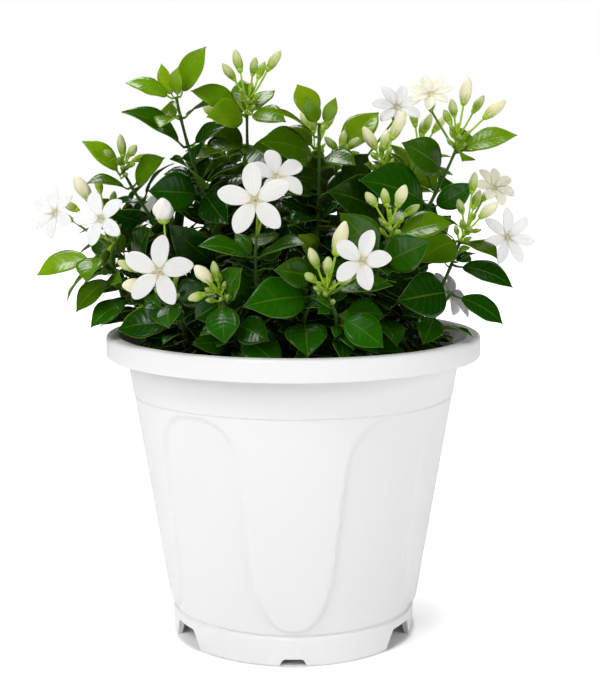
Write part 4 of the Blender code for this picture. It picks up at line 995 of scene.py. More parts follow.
def stem_finish():
    """Growing wood: satin green skin that turns to dull bark."""
    material, shader, node = new_finish("green_wood_and_bark", {"Roughness": 0.5, "IOR": 1.45})
    age = node("SeparateColor", {0: node("Attribute", **TONE)})
    stretch = (per_metre(GRAIN_ACROSS), per_metre(GRAIN_ACROSS), per_metre(GRAIN_ALONG))
    drawn_out = node("Mapping", {"Vector": node("TexCoord", output="Object"), "Scale": stretch})
    grain = node("TexNoise", {"Vector": drawn_out, "Scale": 1.0, "Detail": 3.0})
    fresh = node("Mix", {0: grain, 6: linear("#93bd1c"), 7: linear("#b6d642")}, **COLOURS)
    green = node("Mix", {0: grain, 6: linear("#2c4a10"), 7: linear("#43691a")}, **COLOURS)
    bark = node("Mix", {0: grain, 6: linear("#241d10"), 7: linear("#4c4026")}, **COLOURS)
    grown = node("MapRange", {"Value": age, "From Min": 0.04, "From Max": 0.22}, **SOFT)
    woody = node("MapRange", {"Value": age, "From Min": 0.5, "From Max": 0.9}, **SOFT)
    skin = node("Mix", {0: grown, 6: fresh, 7: green}, **COLOURS)
    skin = node("Mix", {0: woody, 6: skin, 7: bark}, **COLOURS)
    bump = node("Bump", {"Height": grain, "Distance": 0.0003})
    link_patterns(material, shader, Base_Color=skin, Normal=bump)
    return material


# Green wood: a little wax gives young skin a satin shine, which the rough bark breaks up.
stem_skin = stem_finish()
print("stem finish:", stem_skin.name)

# %% [markdown]
# ### Petals
# A petal is thin, soft and matt, and light passes a little way into it, which keeps its shaded side
# bright. It has faint lengthwise veins and a cream throat. Blooms that are older or stand in shade
# differ only in the tone of their corners: the first number warms them, the third paints light on
# them, mixing their petals towards white.

# %% petal finish
PETAL_VEINS = 44.0           # radians of fine ribs across a petal: about seven ribs
PETAL_STREAKS = 9.0          # slower streaks of grey across it


def petal_finish():
    """A soft white petal: matt, with light passing 2 mm into it."""
    material, shader, node = new_finish("soft_petal", {
        "Roughness": 0.55, "IOR": 1.4, "Subsurface Weight": 0.5, "Subsurface Radius": (1.0, 0.95, 0.85),
        "Subsurface Scale": 0.002})
    across, along = node("SeparateXYZ", {0: node("UVMap")}, TWO)
    warm, luck, painted_light = node("SeparateColor", {0: node("Attribute", **TONE)}, THREE)
    streak = node("Math", {0: across, 1: PETAL_STREAKS}, operation="MULTIPLY")
    waver = node("TexNoise", {"W": streak, "Scale": 1.0, "Detail": 1.0}, noise_dimensions="1D")
    off_throat = node("MapRange", {"Value": along, "From Min": 0.0, "From Max": 0.26}, **SOFT)
    throat = node("Math", {0: 1.0, 1: off_throat}, operation="SUBTRACT")
    grey_share = node("Math", {0: waver, 1: 0.35}, operation="MULTIPLY")
    throat_share = node("Math", {0: throat, 1: 0.6}, operation="MULTIPLY")
    white = node("Mix", {0: grey_share, 6: linear("#efedeb"), 7: linear("#d6d2d2")}, **COLOURS)
    # The tone's third number is painted light: it mixes the petals of a bloom in shade towards pure white.
    for share, tint in ((painted_light, "#ffffff"), (throat_share, "#e6e0a8"), (warm, "#faf5cc")):
        white = node("Mix", {0: share, 6: white, 7: linear(tint)}, **COLOURS)
    counted = node("Math", {0: across, 1: PETAL_VEINS}, operation="MULTIPLY")
    ribs = node("Math", {0: counted}, operation="SINE")
    bump = node("Bump", {"Height": ribs, "Distance": 0.00015, "Strength": 0.25})
    link_patterns(material, shader, Base_Color=white, Normal=bump)
    return material


# Living petal: no highlights, only a soft white that glows a little at thin edges.
petal_skin = petal_finish()
print("petal finish:", petal_skin.name)

# %% [markdown]
# ### Buds
# A closed bud is waxier than an open petal. It is cream where its petals are ripe and green at its
# base, and a young one is green all over, so the finish blends cream and green by the bud's tone
# and by its own length.

# %% bud finish
def bud_finish():
    """A closed bud: satin cream over a green base."""
    material, shader, node = new_finish("rolled_bud", {
        "Roughness": 0.42, "IOR": 1.42, "Subsurface Weight": 0.15, "Subsurface Radius": (1.0, 0.95, 0.6),
        "Subsurface Scale": 0.001})
    along = node("SeparateXYZ", {0: node("UVMap")}, 1)
    green, luck = node("SeparateColor", {0: node("Attribute", **TONE)}, TWO)
    cream = node("Mix", {0: luck, 6: linear("#f6f0d8"), 7: linear("#ebe5bd")}, **COLOURS)
    base = node("Mix", {0: green, 6: linear("#c0c858"), 7: linear("#7fa814")}, **COLOURS)
    risen = node("MapRange", {"Value": along, "From Min": 0.05, "From Max": 0.75}, **SOFT)
    tint = node("Math", {0: 1.0, 1: risen}, operation="SUBTRACT")
    tint = node("Math", {0: tint, 1: 0.55}, operation="MULTIPLY")
    share = node("Math", {0: green, 1: 0.78, 2: tint}, operation="MULTIPLY_ADD", use_clamp=True)
    link_patterns(material, shader, Base_Color=node("Mix", {0: share, 6: cream, 7: base}, **COLOURS))
    return material


# Rolled petals in their waxy skin: a soft highlight along each bud shows how round it is.
bud_skin = bud_finish()
print("bud finish:", bud_skin.name)

# %% [markdown]
# ## Blades
# Every leaf and petal is a thin plate. One flat plate is made once as a grid and given its
# thickness, its underside on a second finish. Each leaf and petal is then a copy of it, bent: the
# flat plate's x runs across, y to the tip, and z is its thickness. That keeps the same veins on
# every leaf, and one outline serves them all.

# %% the flat plates
def flat_blade(name, rows, columns):
    """A closed plate from -1 to 1 across and 0 to 1 along, its rows closer at both ends."""
    bm = bmesh.new()
    uv = bm.loops.layers.uv.new("UVMap")
    bm.verts.layers.float_color.new("tone")
    bmesh.ops.create_grid(bm, x_segments=columns, y_segments=rows, size=1, calc_uvs=False)
    for vert in bm.verts:
        even = (vert.co.y + 1) / 2
        vert.co.y = even * 0.4 + (0.5 - 0.5 * math.cos(math.pi * even)) * 0.6
    for face in bm.faces:
        for loop in face.loops:
            loop[uv].uv = ((loop.vert.co.x + 1) / 2, loop.vert.co.y)
    tops = len(bm.faces)
    bmesh.ops.solidify(bm, geom=bm.verts[:] + bm.edges[:] + bm.faces[:], thickness=1)
    bm.faces.ensure_lookup_table()
    for face in bm.faces:
        face.smooth = True
    for face in bm.faces[tops:]:
        face.material_index = 1
    mesh = bpy.data.meshes.new(name)
    bm.to_mesh(mesh)
    bm.free()
    print(name, len(mesh.polygons), "faces")
    return mesh


fine_plate = flat_blade("fine_plate", 18, 8)
plain_plate = flat_blade("plain_plate", 12, 6)
small_plate = flat_blade("small_plate", 6, 4)
petal_plate = flat_blade("petal_plate", 14, 8)


def add_blade(bm, plate, tone, place):
    """Adds one copy of a flat plate, bent by place(x, y, z), with one tone."""
    layer = bm.verts.layers.float_color["tone"]
    first = len(bm.verts)
    bm.from_mesh(plate)
    bm.verts.ensure_lookup_table()
    for vert in bm.verts[first:]:
        vert.co = place(*vert.co)
        vert[layer] = tone


# %% bending a leaf
LEAF_THICK = 0.32
STALK_SHARE = 0.11           # how much of a leaf's length is its stalk
LEAST_HALF = 0.03            # an outline doesn't close to a point, so that no face is flat
AROUND = 6.28                # radians, about once round


def leaf_outline(along):
    """Half width of a leaf from 0 to 1 to 0 along the blade: egg-shaped with a drawn-out tip."""
    body = math.sin(math.pi * along ** 0.93) ** (0.56 + 0.52 * along) if 0 < along < 1 else 0.0
    return max(body, LEAST_HALF)


def bent_leaf(leaf, draw):
    """How the flat plate is bent to this leaf: folded along the midrib, waved, its tip turned down."""
    fold = draw.uniform(0.08, 0.24)
    wave = draw.uniform(0.0, 0.022)
    turns = draw.uniform(1.6, 2.6)
    start = draw.uniform(0, AROUND)
    droop = draw.uniform(0.0, 0.05)
    half_width = leaf.width / 2

    def place(x, y, z):
        share = STALK_SHARE + (1 - STALK_SHARE) * y
        point = leaf.point(share, x * leaf_outline(y))
        lift = fold * abs(x) ** 1.3 * half_width * leaf_outline(y)
        phase = AROUND * turns * y + start + (1.2 if x > 0 else 0)
        lift += wave * x * abs(x) * half_width * 2 * math.sin(phase)
        lift -= droop * leaf.length * max(y - 0.6, 0) ** 2 * 6
        return point + leaf.face * (lift + (z + 0.5) * LEAF_THICK)

    return place


# %% [markdown]
# ## Tubes and finished pieces
# Stems, twigs and stalks are round and bend smoothly. A curve with a bevel could make them, but
# rings of corners set along a smoothed path can also carry the tone that their finish reads, and
# swell where leaves grow.

# %% smooth paths and tubes
def rounded_path(points, step=3.5, passes=3):
    """Points along a path at even steps, with the corners smoothed."""
    length = path_length(points)
    count = max(3, int(length / step))
    path = [along_path(points, length * i / count)[0] for i in range(count + 1)]
    for _ in range(passes):
        path = [path[0]] + [path[i - 1] * 0.25 + path[i] * 0.5 + path[i + 1] * 0.25
                            for i in range(1, count)] + [path[-1]]
    return path


def open_mesh():
    """An empty mesh with a UV map and a tone."""
    bm = bmesh.new()
    bm.loops.layers.uv.new("UVMap")
    bm.verts.layers.float_color.new("tone")
    return bm


def add_tube(bm, points, radii, sides, tones, slot):
    """A closed tube in an open mesh, with a tone for every ring."""
    tone = bm.verts.layers.float_color["tone"]
    uv = bm.loops.layers.uv["UVMap"]
    side = two_across((points[1] - points[0]).normalized())[0]
    rings = []
    for ring, value in zip(tube_rings(points, radii, sides, side), tones):
        rings.append([bm.verts.new(p) for p in ring])
        for vert in rings[-1]:
            vert[tone] = value
    ends, walls = join_rings(bm, rings)
    for number, face in enumerate(walls):
        i, k = divmod(number, sides)
        for loop, (u, v) in zip(face.loops, ((k, i), (k + 1, i), (k + 1, i + 1), (k, i + 1))):
            loop[uv].uv = (u / sides, v / (len(rings) - 1))
    for face in ends + walls:
        face.smooth = True
        face.material_index = slot
    return rings


def add_even_tube(bm, path, radius, sides, green, slot):
    """A stalk of one thickness and one green."""
    add_tube(bm, path, [radius] * len(path), sides, [(green, 0.5, 0, 1)] * len(path), slot)


def finished_piece(name, bm, materials, node):
    """Turns a mesh into a piece: the one that stands for a CAD node, or an added one where node is None."""
    for vert in bm.verts:
        vert.co *= MM
    mesh = bpy.data.meshes.new(name)
    bm.to_mesh(mesh)
    bm.free()
    for material in materials:
        mesh.materials.append(material)
    piece = bpy.data.objects.new(name, mesh)
    bpy.context.scene.collection.objects.link(piece)
    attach(piece, "root")
    if node:
        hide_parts(node)
    return piece


# %% a calyx: a small cup with thin teeth
CALYX_TEETH = 8
TOOTH = 4.5                  # length of a full-grown calyx's teeth


def add_calyx(bm, base, heading, radius, length, slot, teeth=TOOTH):
    """A cup that hugs the foot of a bud or bloom, with needle-like teeth."""
    green = [(0.0, 0.5, 0, 1)] * 3
    cup = [base, base + heading * length * 0.35, base + heading * length * 0.8]
    add_tube(bm, cup, (radius * 0.5, radius * 0.9, radius), 8, green, slot)
    side, other = two_across(heading, (0.1, 0.2, 1))
    for k in range(CALYX_TEETH):
        out = spoke(side, other, 2 * math.pi * k / CALYX_TEETH)
        foot = cup[2] - heading * 0.4 + out * radius * 0.85
        middle = foot + heading * teeth * 0.5 + out * radius * 0.4
        tip = middle + heading * teeth * 0.5 + out * radius * 0.15
        add_tube(bm, [foot, middle, tip], (0.34, 0.28, 0.05), 3, green, slot)


# %% [markdown]
# ## Shoots
# A shoot is one piece: its stem, swollen a little where leaves leave it, the twigs of its blooms
# with their toothed calyx, and every leaf on its curved stalk. Leaves are youngest and brightest at
# the tips of tall shoots, and darkest deep in the bush, where the leaves are old and a painted shade
# stands in for the lamps' light that hardly reaches them.

# %% how old and how shaded a leaf is
YOUNG_REACH = 22.0           # millimetres down from a shoot's tip within which its leaves are young
FRESH_SHARE = 0.08           # how many of the small inner leaves are new and bright
FRESHNESS = {                # how young two shoots' tips are, where the photograph differs from their height
    "shoot_left": 0.7, "shoot_right_top": 0.6}


def leaf_tone(name, stem_length, distance, leaf, draw):
    """Age, luck and painted shade of a leaf, for its finish."""
    middle = leaf.point(0.6, 0)
    fresh = FRESHNESS.get(name, min(max((middle.z - 182) / 80, 0.05), 1))
    youth = math.exp(-max(stem_length - distance, 0) / YOUNG_REACH) * fresh
    age = min(1.0, 1 - 0.85 * youth + draw.uniform(-0.05, 0.05))
    # Painted shade: darker towards the middle of the bush, most where that is also low.
    depth = 1 - min(math.hypot(middle.x / 110, middle.y / 88), 1)
    low = 1 - min(max((middle.z - 170) / 110, 0), 1)
    shade = max(0.0, min(0.8, depth * 0.55 + depth * low * 0.9))
    return (max(age, 0.0), draw.random(), shade, 1)


# %% a shoot's stem, and a leaf on its stalk
NODE_SWELL = 0.28            # how much thicker a stem is where leaves grow from it
SWELL_REACH = 2.0


def add_stem(bm, name, points, draw):
    """The stem, thinner upwards, its tone from bark to green."""
    length = path_length(points)
    path = rounded_path(points)
    distances = [length * i / (len(path) - 1) for i in range(len(path))]
    nodes = [distance for distance, _ in stem_leaves[name]]
    radii = []
    for distance in distances:
        plain = STEM_BASE + (STEM_TIP - STEM_BASE) * distance / length
        near = min([abs(distance - node) for node in nodes] or [TO_THE_END])
        radii.append(plain * (0.88 + NODE_SWELL * math.exp(-(near / SWELL_REACH) ** 2)))
    tones = [(0.25 + 0.75 * (1 - distance / length), draw.random(), 0, 1) for distance in distances]
    add_tube(bm, path, radii, 9, tones, 2)


def add_leaf(bm, root, leaf, tone, small, draw):
    """A leaf's curved stalk, which runs on under the blade as its midrib, and the blade."""
    under = -leaf.face * 0.25
    stalk = [root, leaf.root] + [leaf.point(share, 0) + under for share in (0.06, STALK_SHARE + 0.03, 0.3)]
    green = (0.08 + 0.2 * tone[0], 0.5, 0, 1)
    thick = 0.30 + leaf.width * 0.014
    radii = (thick * 1.3, thick * 1.2, thick, thick * 0.85, thick * 0.3)
    add_tube(bm, stalk, radii, 4 if small else 6, [green] * 5, 2)
    plate = small_plate if small else fine_plate if leaf.length > 27 else plain_plate
    add_blade(bm, plate, tone, bent_leaf(leaf, draw))


# %% the shoots
def make_shoot(name, points):
    """One shoot with all that grows on it."""
    draw = random.Random(name)
    bm = open_mesh()
    add_stem(bm, name, points, draw)
    for twig in bloom_twigs[name]:
        add_even_tube(bm, rounded_path(twig[:-1], 2.5, 2), TWIG * 0.85, 7, 0.15, 2)
        heading = (twig[-1] - twig[-2]).normalized()
        add_calyx(bm, twig[-2] - heading * 0.8, heading, CALYX_RADIUS * 1.05, 4.2, 2)
    for number, (distance, leaf) in enumerate(stem_leaves[name] + inner_leaves[name]):
        small = number >= len(stem_leaves[name])
        tone = leaf_tone(name, path_length(points), distance, leaf, draw)
        # A new inner leaf is young green and keeps only a third of its painted shade.
        if small and draw.random() < FRESH_SHARE:
            tone = (0.2, draw.random(), tone[2] * 0.3, 1)
        add_leaf(bm, along_path(points, distance)[0], leaf, tone, small, draw)
    return finished_piece(name + "_living", bm, (leaf_top, leaf_under, stem_skin), name)


total = sum(len(make_shoot(name, points).data.polygons) for name, points in stems.items())
print(len(stems), "shoots,", total, "faces")

# %% [markdown]
# ## Bud sprays
# A bud is a slim pointed egg of petals rolled round each other, so its skin shows a slight spiral.
# Modelling each rolled petal would cost much for a piece 12 mm long; five low ridges that turn as
# they rise look the same. A bud that is about to open is white and its petals' edges stand out
# more.

# %% a bud's body
BUD_RINGS = 11
BUD_SIDES = 20
OPENING = 4.2                # radius past which a bud is about to open
RIDGE, OPEN_RIDGE = 0.07, 0.13
RIDGE_TWIST = 1.4            # radians that the ridges turn on their way up


def add_bud_body(bm, base, tip, radius, tone):
    """A rolled bud: five low ridges that turn as they rise."""
    opening = radius > OPENING
    points = []
    radii = []
    for i in range(BUD_RINGS):
        share = i / (BUD_RINGS - 1)
        points.append(base.lerp(tip, share * 0.97))
        full = math.sin(math.pi * (share * 0.89 + 0.09)) ** 0.64
        radii.append(max(radius * full, 0.12))
    rings = add_tube(bm, points, radii, BUD_SIDES, [tone] * BUD_RINGS, 2 if opening else 1)
    for i, ring in enumerate(rings):
        share = i / (BUD_RINGS - 1)
        for k, vert in enumerate(ring):
            wave = math.cos(5 * (2 * math.pi * k / BUD_SIDES - RIDGE_TWIST * share))
            ridge = 1 + (OPEN_RIDGE if opening else RIDGE) * wave * math.sin(math.pi * share)
            vert.co = points[i] + (vert.co - points[i]) * ridge


# %% the sprays
YOUNG_BUDS = 8               # tiny green ones low in every spray


def young_buds(points, draw):
    """Tiny buds that spiral down from the fork."""
    fork, axis = points[-1], (points[-1] - points[-2]).normalized()
    side, other = two_across(axis)
    made = []
    for k in range(YOUNG_BUDS):
        out = spoke(side, other, 2.4 * k + draw.uniform(-0.3, 0.3))
        start = fork - axis * (0.8 + 1.3 * k)
        base = start + (out + axis * draw.uniform(0.8, 1.6)).normalized() * draw.uniform(3.5, 6.5)
        tip = base + (base - start).normalized() * 5.0
        made.append((start, start, base, tip, draw.uniform(1.0, 1.35)))
    return made


def make_spray(name, points, buds, node):
    """A stalk with its side stalks, calyces and buds."""
    draw = random.Random(name)
    bm = open_mesh()
    add_even_tube(bm, rounded_path(points, 1.5, 2), SPRAY_STALK * 0.9, 7, 0.06, 0)
    for axis_point, start, base, tip, radius in buds + young_buds(points, draw):
        heading = (tip - base).normalized()
        bent = start.lerp(base, 0.5) + Vector((0, 0, -0.6))
        foot = [] if axis_point == start else [axis_point]
        add_even_tube(bm, rounded_path(foot + [start, bent, base], 1.5, 2), STALK * 0.85, 6, 0.02, 0)
        size = min((tip - base).length / 12, 1)
        teeth = TOOTH * size * (0.3 if radius > OPENING else 1)
        add_calyx(bm, base - heading * 1.2, heading, radius * 0.62 + 0.2, 1.6 + 1.6 * size, 0, teeth)
        ripe = min(max((radius - 2.0) / 1.2, 0), 1)
        add_bud_body(bm, base, tip, radius, (1 - ripe * draw.uniform(0.85, 1), draw.random(), 0, 1))
    return finished_piece(name + "_living", bm, (stem_skin, bud_skin, petal_skin), node)


for name, (points, buds) in bud_sprays.items():
    make_spray(name, points, buds, name)
make_spray("buds_beside_bloom", bloom_stalk[2:4], beside_buds, None)
print(len(bud_sprays), "bud sprays, and the three buds beside the left bloom")

# %% [markdown]
# ## Blooms
# A bloom is a thin tube that opens into petals. The petals leave the rim of the throat side by
# side, cup a little and turn back at their tips. Each is the flat petal plate, bent by its own
# seeded draws, because real petals of one bloom never lie alike.

# %% bending a petal
PETAL_THICK = 0.35
PETAL_WIDEST = 0.56          # share of its length where a petal is widest
CREASE_REACH = 0.16          # half width of the crease along its middle


def petal_outline(along):
    """Half width of a petal: narrow at the throat, widest past its middle, drawn to a blunt point."""
    if along < PETAL_WIDEST:
        return 0.40 + 0.60 * math.sin(math.pi / 2 * along / PETAL_WIDEST) ** 1.25
    return max(1 - ((along - PETAL_WIDEST) / (1.01 - PETAL_WIDEST)) ** 2.2, 0.02) ** 0.68


def bent_petal(leaf, draw):
    """How the flat plate is bent to this petal."""
    cup = draw.uniform(0.16, 0.34)
    back = draw.uniform(0.02, 0.10)
    twist = draw.uniform(-0.22, 0.22)
    crease = draw.uniform(0.03, 0.07)
    half_width = leaf.width / 2

    def place(x, y, z):
        half = petal_outline(y)
        point = leaf.point(y, x * half)
        lift = cup * x * x * half * half_width - back * leaf.length * y ** 3
        sunk = crease * half_width * math.exp(-(x / CREASE_REACH) ** 2) * half
        lift += twist * x * half * half_width * y - sunk
        return point + leaf.face * (lift + (z + 0.5) * PETAL_THICK)

    return place


# %% tube and throat
THROAT_SIDES = 12
OUTER_RINGS = 4              # rings on the tube's outside; the rest lead down into the throat


def add_throat(bm, foot, throat, facing, side, warm):
    """The tube's outside, rim and inside in one skin."""
    tone = bm.verts.layers.float_color["tone"]
    uv = bm.loops.layers.uv["UVMap"]
    path = [foot, foot.lerp(throat, 0.5), foot.lerp(throat, 0.85), throat,
            throat, throat - facing * 1.2, throat - facing * 3.0]
    radii = [TUBE_RADIUS * 0.9, TUBE_RADIUS * 1.05, THROAT_RADIUS * 0.8, THROAT_RADIUS,
             THROAT_RADIUS * 0.78, THROAT_RADIUS * 0.5, THROAT_RADIUS * 0.28]
    other = (throat - foot).normalized().cross(side)
    rings = []
    for point, radius in zip(path, radii):
        turns = [2 * math.pi * k / THROAT_SIDES for k in range(THROAT_SIDES)]
        rings.append([bm.verts.new(point + spoke(side, other, a) * radius) for a in turns])
        for vert in rings[-1]:
            vert[tone] = (warm, 0.5, 0, 1)
    for number, face in enumerate(join_rings(bm, rings)[1]):
        face.smooth = True
        for loop in face.loops:
            loop[uv].uv = (0.5, 0.02 if number // THROAT_SIDES >= OUTER_RINGS - 1 else 0.25)


# %% the blooms
WARM_BLOOMS = ("bloom_yellow", "bloom_upright")
# Blooms in shade whose petals get painted light, mixed towards white.
BLOOMS_GIVEN_PAINTED_LIGHT = ("bloom_pale", "bloom_turned", "bloom_far_right", "bloom_far_left", "bloom_upright",
               "bloom_yellow", "bloom_back_0")


def make_bloom(name, foot, throat, facing, petals):
    """The tube with its throat, and the petals round it."""
    draw = random.Random(name)
    bm = open_mesh()
    warm = 0.8 if name in WARM_BLOOMS else draw.uniform(0.0, 0.12)
    # Painted light: full for the blooms in shade, none for the rest.
    painted_light = 1 if name in BLOOMS_GIVEN_PAINTED_LIGHT else 0
    add_throat(bm, foot, throat, facing, square_to(petals[0].along, facing), warm)
    for petal in petals:
        add_blade(bm, petal_plate, (warm, draw.random(), painted_light, 1), bent_petal(petal, draw))
    for face in bm.faces:
        face.material_index = 0
    return finished_piece(name + "_living", bm, (petal_skin,), name)


for name, bloom in open_blooms.items():
    make_bloom(name, *bloom)
print(len(open_blooms), "blooms")

# %% [markdown]
# ## The pot
# The real pot is injection-moulded: one thin shell of white plastic, with five raised tongues on
# its body and arched panels between them, a fine line under the band and six notches in its foot
# ring. A shell of even thickness about an axis is best spun from its section. The section is drawn
# once and its corners are rounded.

# %% pot finish
FLOW = 28.6                  # slow unevenness of the moulded wall, millimetres


def pot_finish():
    """Moulded polypropylene: a soft satin white that lets a little light in, its wall never quite even."""
    material, shader, node = new_finish("moulded_polypropylene", {
        "Base Color": linear("#edecec"), "Roughness": 0.34, "IOR": 1.49, "Subsurface Weight": 0.08,
        "Subsurface Radius": (1.0, 1.0, 1.0), "Subsurface Scale": 0.002})
    place = node("TexCoord", output="Object")
    flow = node("TexNoise", {"Vector": place, "Scale": per_metre(FLOW), "Detail": 2.0})
    bump = node("Bump", {"Height": flow, "Distance": 0.0004, "Strength": 0.12})
    link_patterns(material, shader, Normal=bump)
    return material


# Polypropylene from a polished mould: lamps show as broad soft highlights, and a shaded wall stays bright.
pot_skin = pot_finish()
print("pot finish:", pot_skin.name)

# %% the section
FOOT_GROOVE = 1.5            # depth of the groove between foot ring and body
STEP_GROOVE = 0.4            # a shallow groove under the step, which draws its line


def rounded_corner(before, corner, after, size, steps=4):
    """Points of a small arc in place of a corner."""
    corner = Vector(corner)
    start = corner + (Vector(before) - corner).normalized() * size
    end = corner + (Vector(after) - corner).normalized() * size
    shares = [i / steps for i in range(steps + 1)]
    return [start * (1 - t) ** 2 + corner * 2 * t * (1 - t) + end * t * t for t in shares]


def pot_section():
    """The shell's section as radius and height, from the floor's middle round the outside and back."""
    foot_in = FOOT_RADIUS - FOOT_WALL
    corners = [              # radius, height, size of the rounding
        (1, FLOOR_UNDERSIDE, 0), (foot_in - 1, FLOOR_UNDERSIDE, 1.2),
        (foot_in, 0, 0.7), (FOOT_RADIUS, 0, 1.1), (FOOT_TOP_RADIUS, FOOT_HEIGHT - 3.2, 0.6),
        (FOOT_TOP_RADIUS - FOOT_GROOVE, FOOT_HEIGHT - 2.5, 0.3),
        (FOOT_TOP_RADIUS - FOOT_GROOVE, FOOT_HEIGHT - 1.6, 0.2),
        (BODY_BOTTOM_RADIUS - 0.2, FOOT_HEIGHT - 1.0, 0.3), (BODY_BOTTOM_RADIUS, FOOT_HEIGHT + 0.5, 0.4),
        (BAND_BOTTOM_RADIUS - BAND_PROUD, STEP_HEIGHT - STEP_GROOVE * 3, 0.5),
        (BAND_BOTTOM_RADIUS - BAND_PROUD - STEP_GROOVE, STEP_HEIGHT - 0.4, 0.2),
        (BAND_BOTTOM_RADIUS, STEP_HEIGHT + 0.2, 0.3),
        (BAND_TOP_RADIUS, RIM_BOTTOM + 0.8, 1.2), (RIM_INNER + RIM_WALL, RIM_TOP - RIM_WALL, 1.0),
        (RIM_RADIUS - RIM_WALL, RIM_TOP - RIM_WALL, 1.0), (RIM_RADIUS - RIM_WALL, RIM_BOTTOM, 0.6),
        (RIM_RADIUS, RIM_BOTTOM, 0.8), (RIM_RADIUS, RIM_TOP, RIM_ROUNDING), (RIM_INNER, RIM_TOP, 1.6),
        (inner_radius(RIM_BOTTOM), RIM_BOTTOM, 1.0), (inner_radius(FLOOR_TOP), FLOOR_TOP, 1.5),
        (1, FLOOR_TOP, 0)]
    outline = []
    for i, (radius, height, size) in enumerate(corners):
        if size:
            outline += rounded_corner(corners[i - 1][:2], (radius, height), corners[i + 1][:2], size)
        else:
            outline.append(Vector((radius, height)))
    return outline


print("the pot's section has", len(pot_section()), "points")

# %% spin it
POT_COLUMNS = 360
ROWS = 100                   # rows of faces up the pressed wall
ROW_SPREAD = 1.25            # power by which they stand closer at the wall's foot, where a tongue is roundest


def spun(outline, start, steps):
    """A closed body, spun from a section of radius and height that starts on one side of the axis."""
    bm = bmesh.new()
    verts = [bm.verts.new((start.x * radius, start.y * radius, height)) for radius, height in outline]
    for a, b in zip(verts, verts[1:]):
        bm.edges.new((a, b))
    bmesh.ops.spin(bm, geom=verts + bm.edges[:], cent=(0, 0, 0), axis=(0, 0, 1), angle=2 * math.pi,
                   steps=steps, use_merge=True)
    bmesh.ops.remove_doubles(bm, verts=bm.verts, dist=0.0001)
    bmesh.ops.holes_fill(bm, edges=[edge for edge in bm.edges if edge.is_boundary], sides=0)
    bmesh.ops.recalc_face_normals(bm, faces=bm.faces)
    return bm


def pot_shell():
    """The plain shell, with many rows of faces only where the panels will be pressed."""
    outline = []
    section = pot_section()
    for a, b in zip(section, section[1:]):
        outline.append(a)
        pressed = FOOT_HEIGHT < a.y < STEP_HEIGHT and a.x > BODY_BOTTOM_RADIUS - 1 and b.y > a.y + 5
        steps = ROWS if pressed else 1
        outline += [a.lerp(b, (i / steps) ** ROW_SPREAD) for i in range(1, steps)]
    outline.append(section[-1])
    return spun(outline, Vector((0, -1)), POT_COLUMNS)


shell = pot_shell()
print("plain shell:", len(shell.faces), "faces")

# %% [markdown]
# ### The pressed panels
# The relief could be cut with Booleans, but its soft slopes would be hard to get. Instead each
# corner of the wall is asked how far it lies past the nearest tongue's edge, in millimetres, and
# moves in by that: not at all on the tongue, fully in the panel, and along an even slope between
# them, whichever way the edge runs.

# %% how far past a tongue's edge
TONGUES = 5
TONGUE_BOTTOM = 20.9         # where the CAD's plain tongues end
TONGUE_DROP = 1.6            # how much lower the round foot of a tongue reaches here
FLANKS = ((58.0, 16.6), (118.0, 19.6))       # height, and half width in degrees, at two places up its flanks
FOOT_ROUNDING = 2.6          # power of the curve at a tongue's foot
ARCH_SPRING = 106.0          # height at which the arches between the tongues begin
ARCH_ROUNDING = 2.5
ARCH_TOP = STEP_HEIGHT - 2.4 # their crowns, a thin line below the step


def outside(x, y, width, length, power):
    """About how far a point lies outside the round end of a form, from the form's half sizes there."""
    across, along = abs(x) / width, y / length
    reach = max((across ** power + along ** power) ** (1 / power), 0.01)
    slope = math.hypot((across / reach) ** (power - 1) / width, (along / reach) ** (power - 1) / length)
    return (reach - 1) / max(slope, 0.001)


def past_edge(angle, height, radius):
    """How far a point lies past the edge of a raised tongue: above 0 in the panels, below 0 on the tongue."""
    (low, narrow), (high, wide) = FLANKS
    degree = math.radians(radius)
    flank = narrow + (wide - narrow) * (height - low) / (high - low)
    panel = 180 / TONGUES
    if height < low:
        return outside(angle * degree, low - height, flank * degree, low - (TONGUE_BOTTOM - TONGUE_DROP),
                       FOOT_ROUNDING)
    if height > ARCH_SPRING:
        return -outside((panel - angle) * degree, height - ARCH_SPRING, (panel - flank) * degree,
                        ARCH_TOP - ARCH_SPRING, ARCH_ROUNDING)
    return (angle - flank) * degree


print("past a tongue's edge 20 degrees off its middle, half way up:",
      round(past_edge(20, 80, body_radius(80)), 2))

# %% press the panels
RELIEF = 1.2                 # how deep the CAD's panels are
PRESS_SHOWN = 1.6            # these are pressed in this much more, as deep as their edges show
EDGE_SHOWN = 2.2             # millimetres that a panel's edge takes to slope in
FADE = 1.6                   # millimetres over which the relief ends under the step


def press_panels(bm):
    """Moves the wall in between the tongues."""
    period = 360 / TONGUES
    for vert in bm.verts:
        x, y, height = vert.co
        radius = math.hypot(x, y)
        if not (FOOT_HEIGHT - 1.5 < height < STEP_HEIGHT - 0.3) or radius < body_radius(height) - 1:
            continue
        angle = math.degrees(math.atan2(x, -y)) % period
        angle = min(angle, period - angle)
        over = max(0.0, min(1.0, past_edge(angle, height, radius) / EDGE_SHOWN + 0.5))
        top = max(0.0, min(1.0, (STEP_HEIGHT - 0.6 - height) / FADE))
        pressed = RELIEF * PRESS_SHOWN * over * over * (3 - 2 * over) * top
        vert.co.x *= 1 - pressed / radius
        vert.co.y *= 1 - pressed / radius


press_panels(shell)
print("panels pressed in by", RELIEF * PRESS_SHOWN, "mm")

# %% [markdown]
# ### Notches and drain holes
# Water leaves the pot through holes in its raised floor and notches in its foot ring. Both are
# plain cuts, so simple cutters and one exact Boolean make them cleanly.

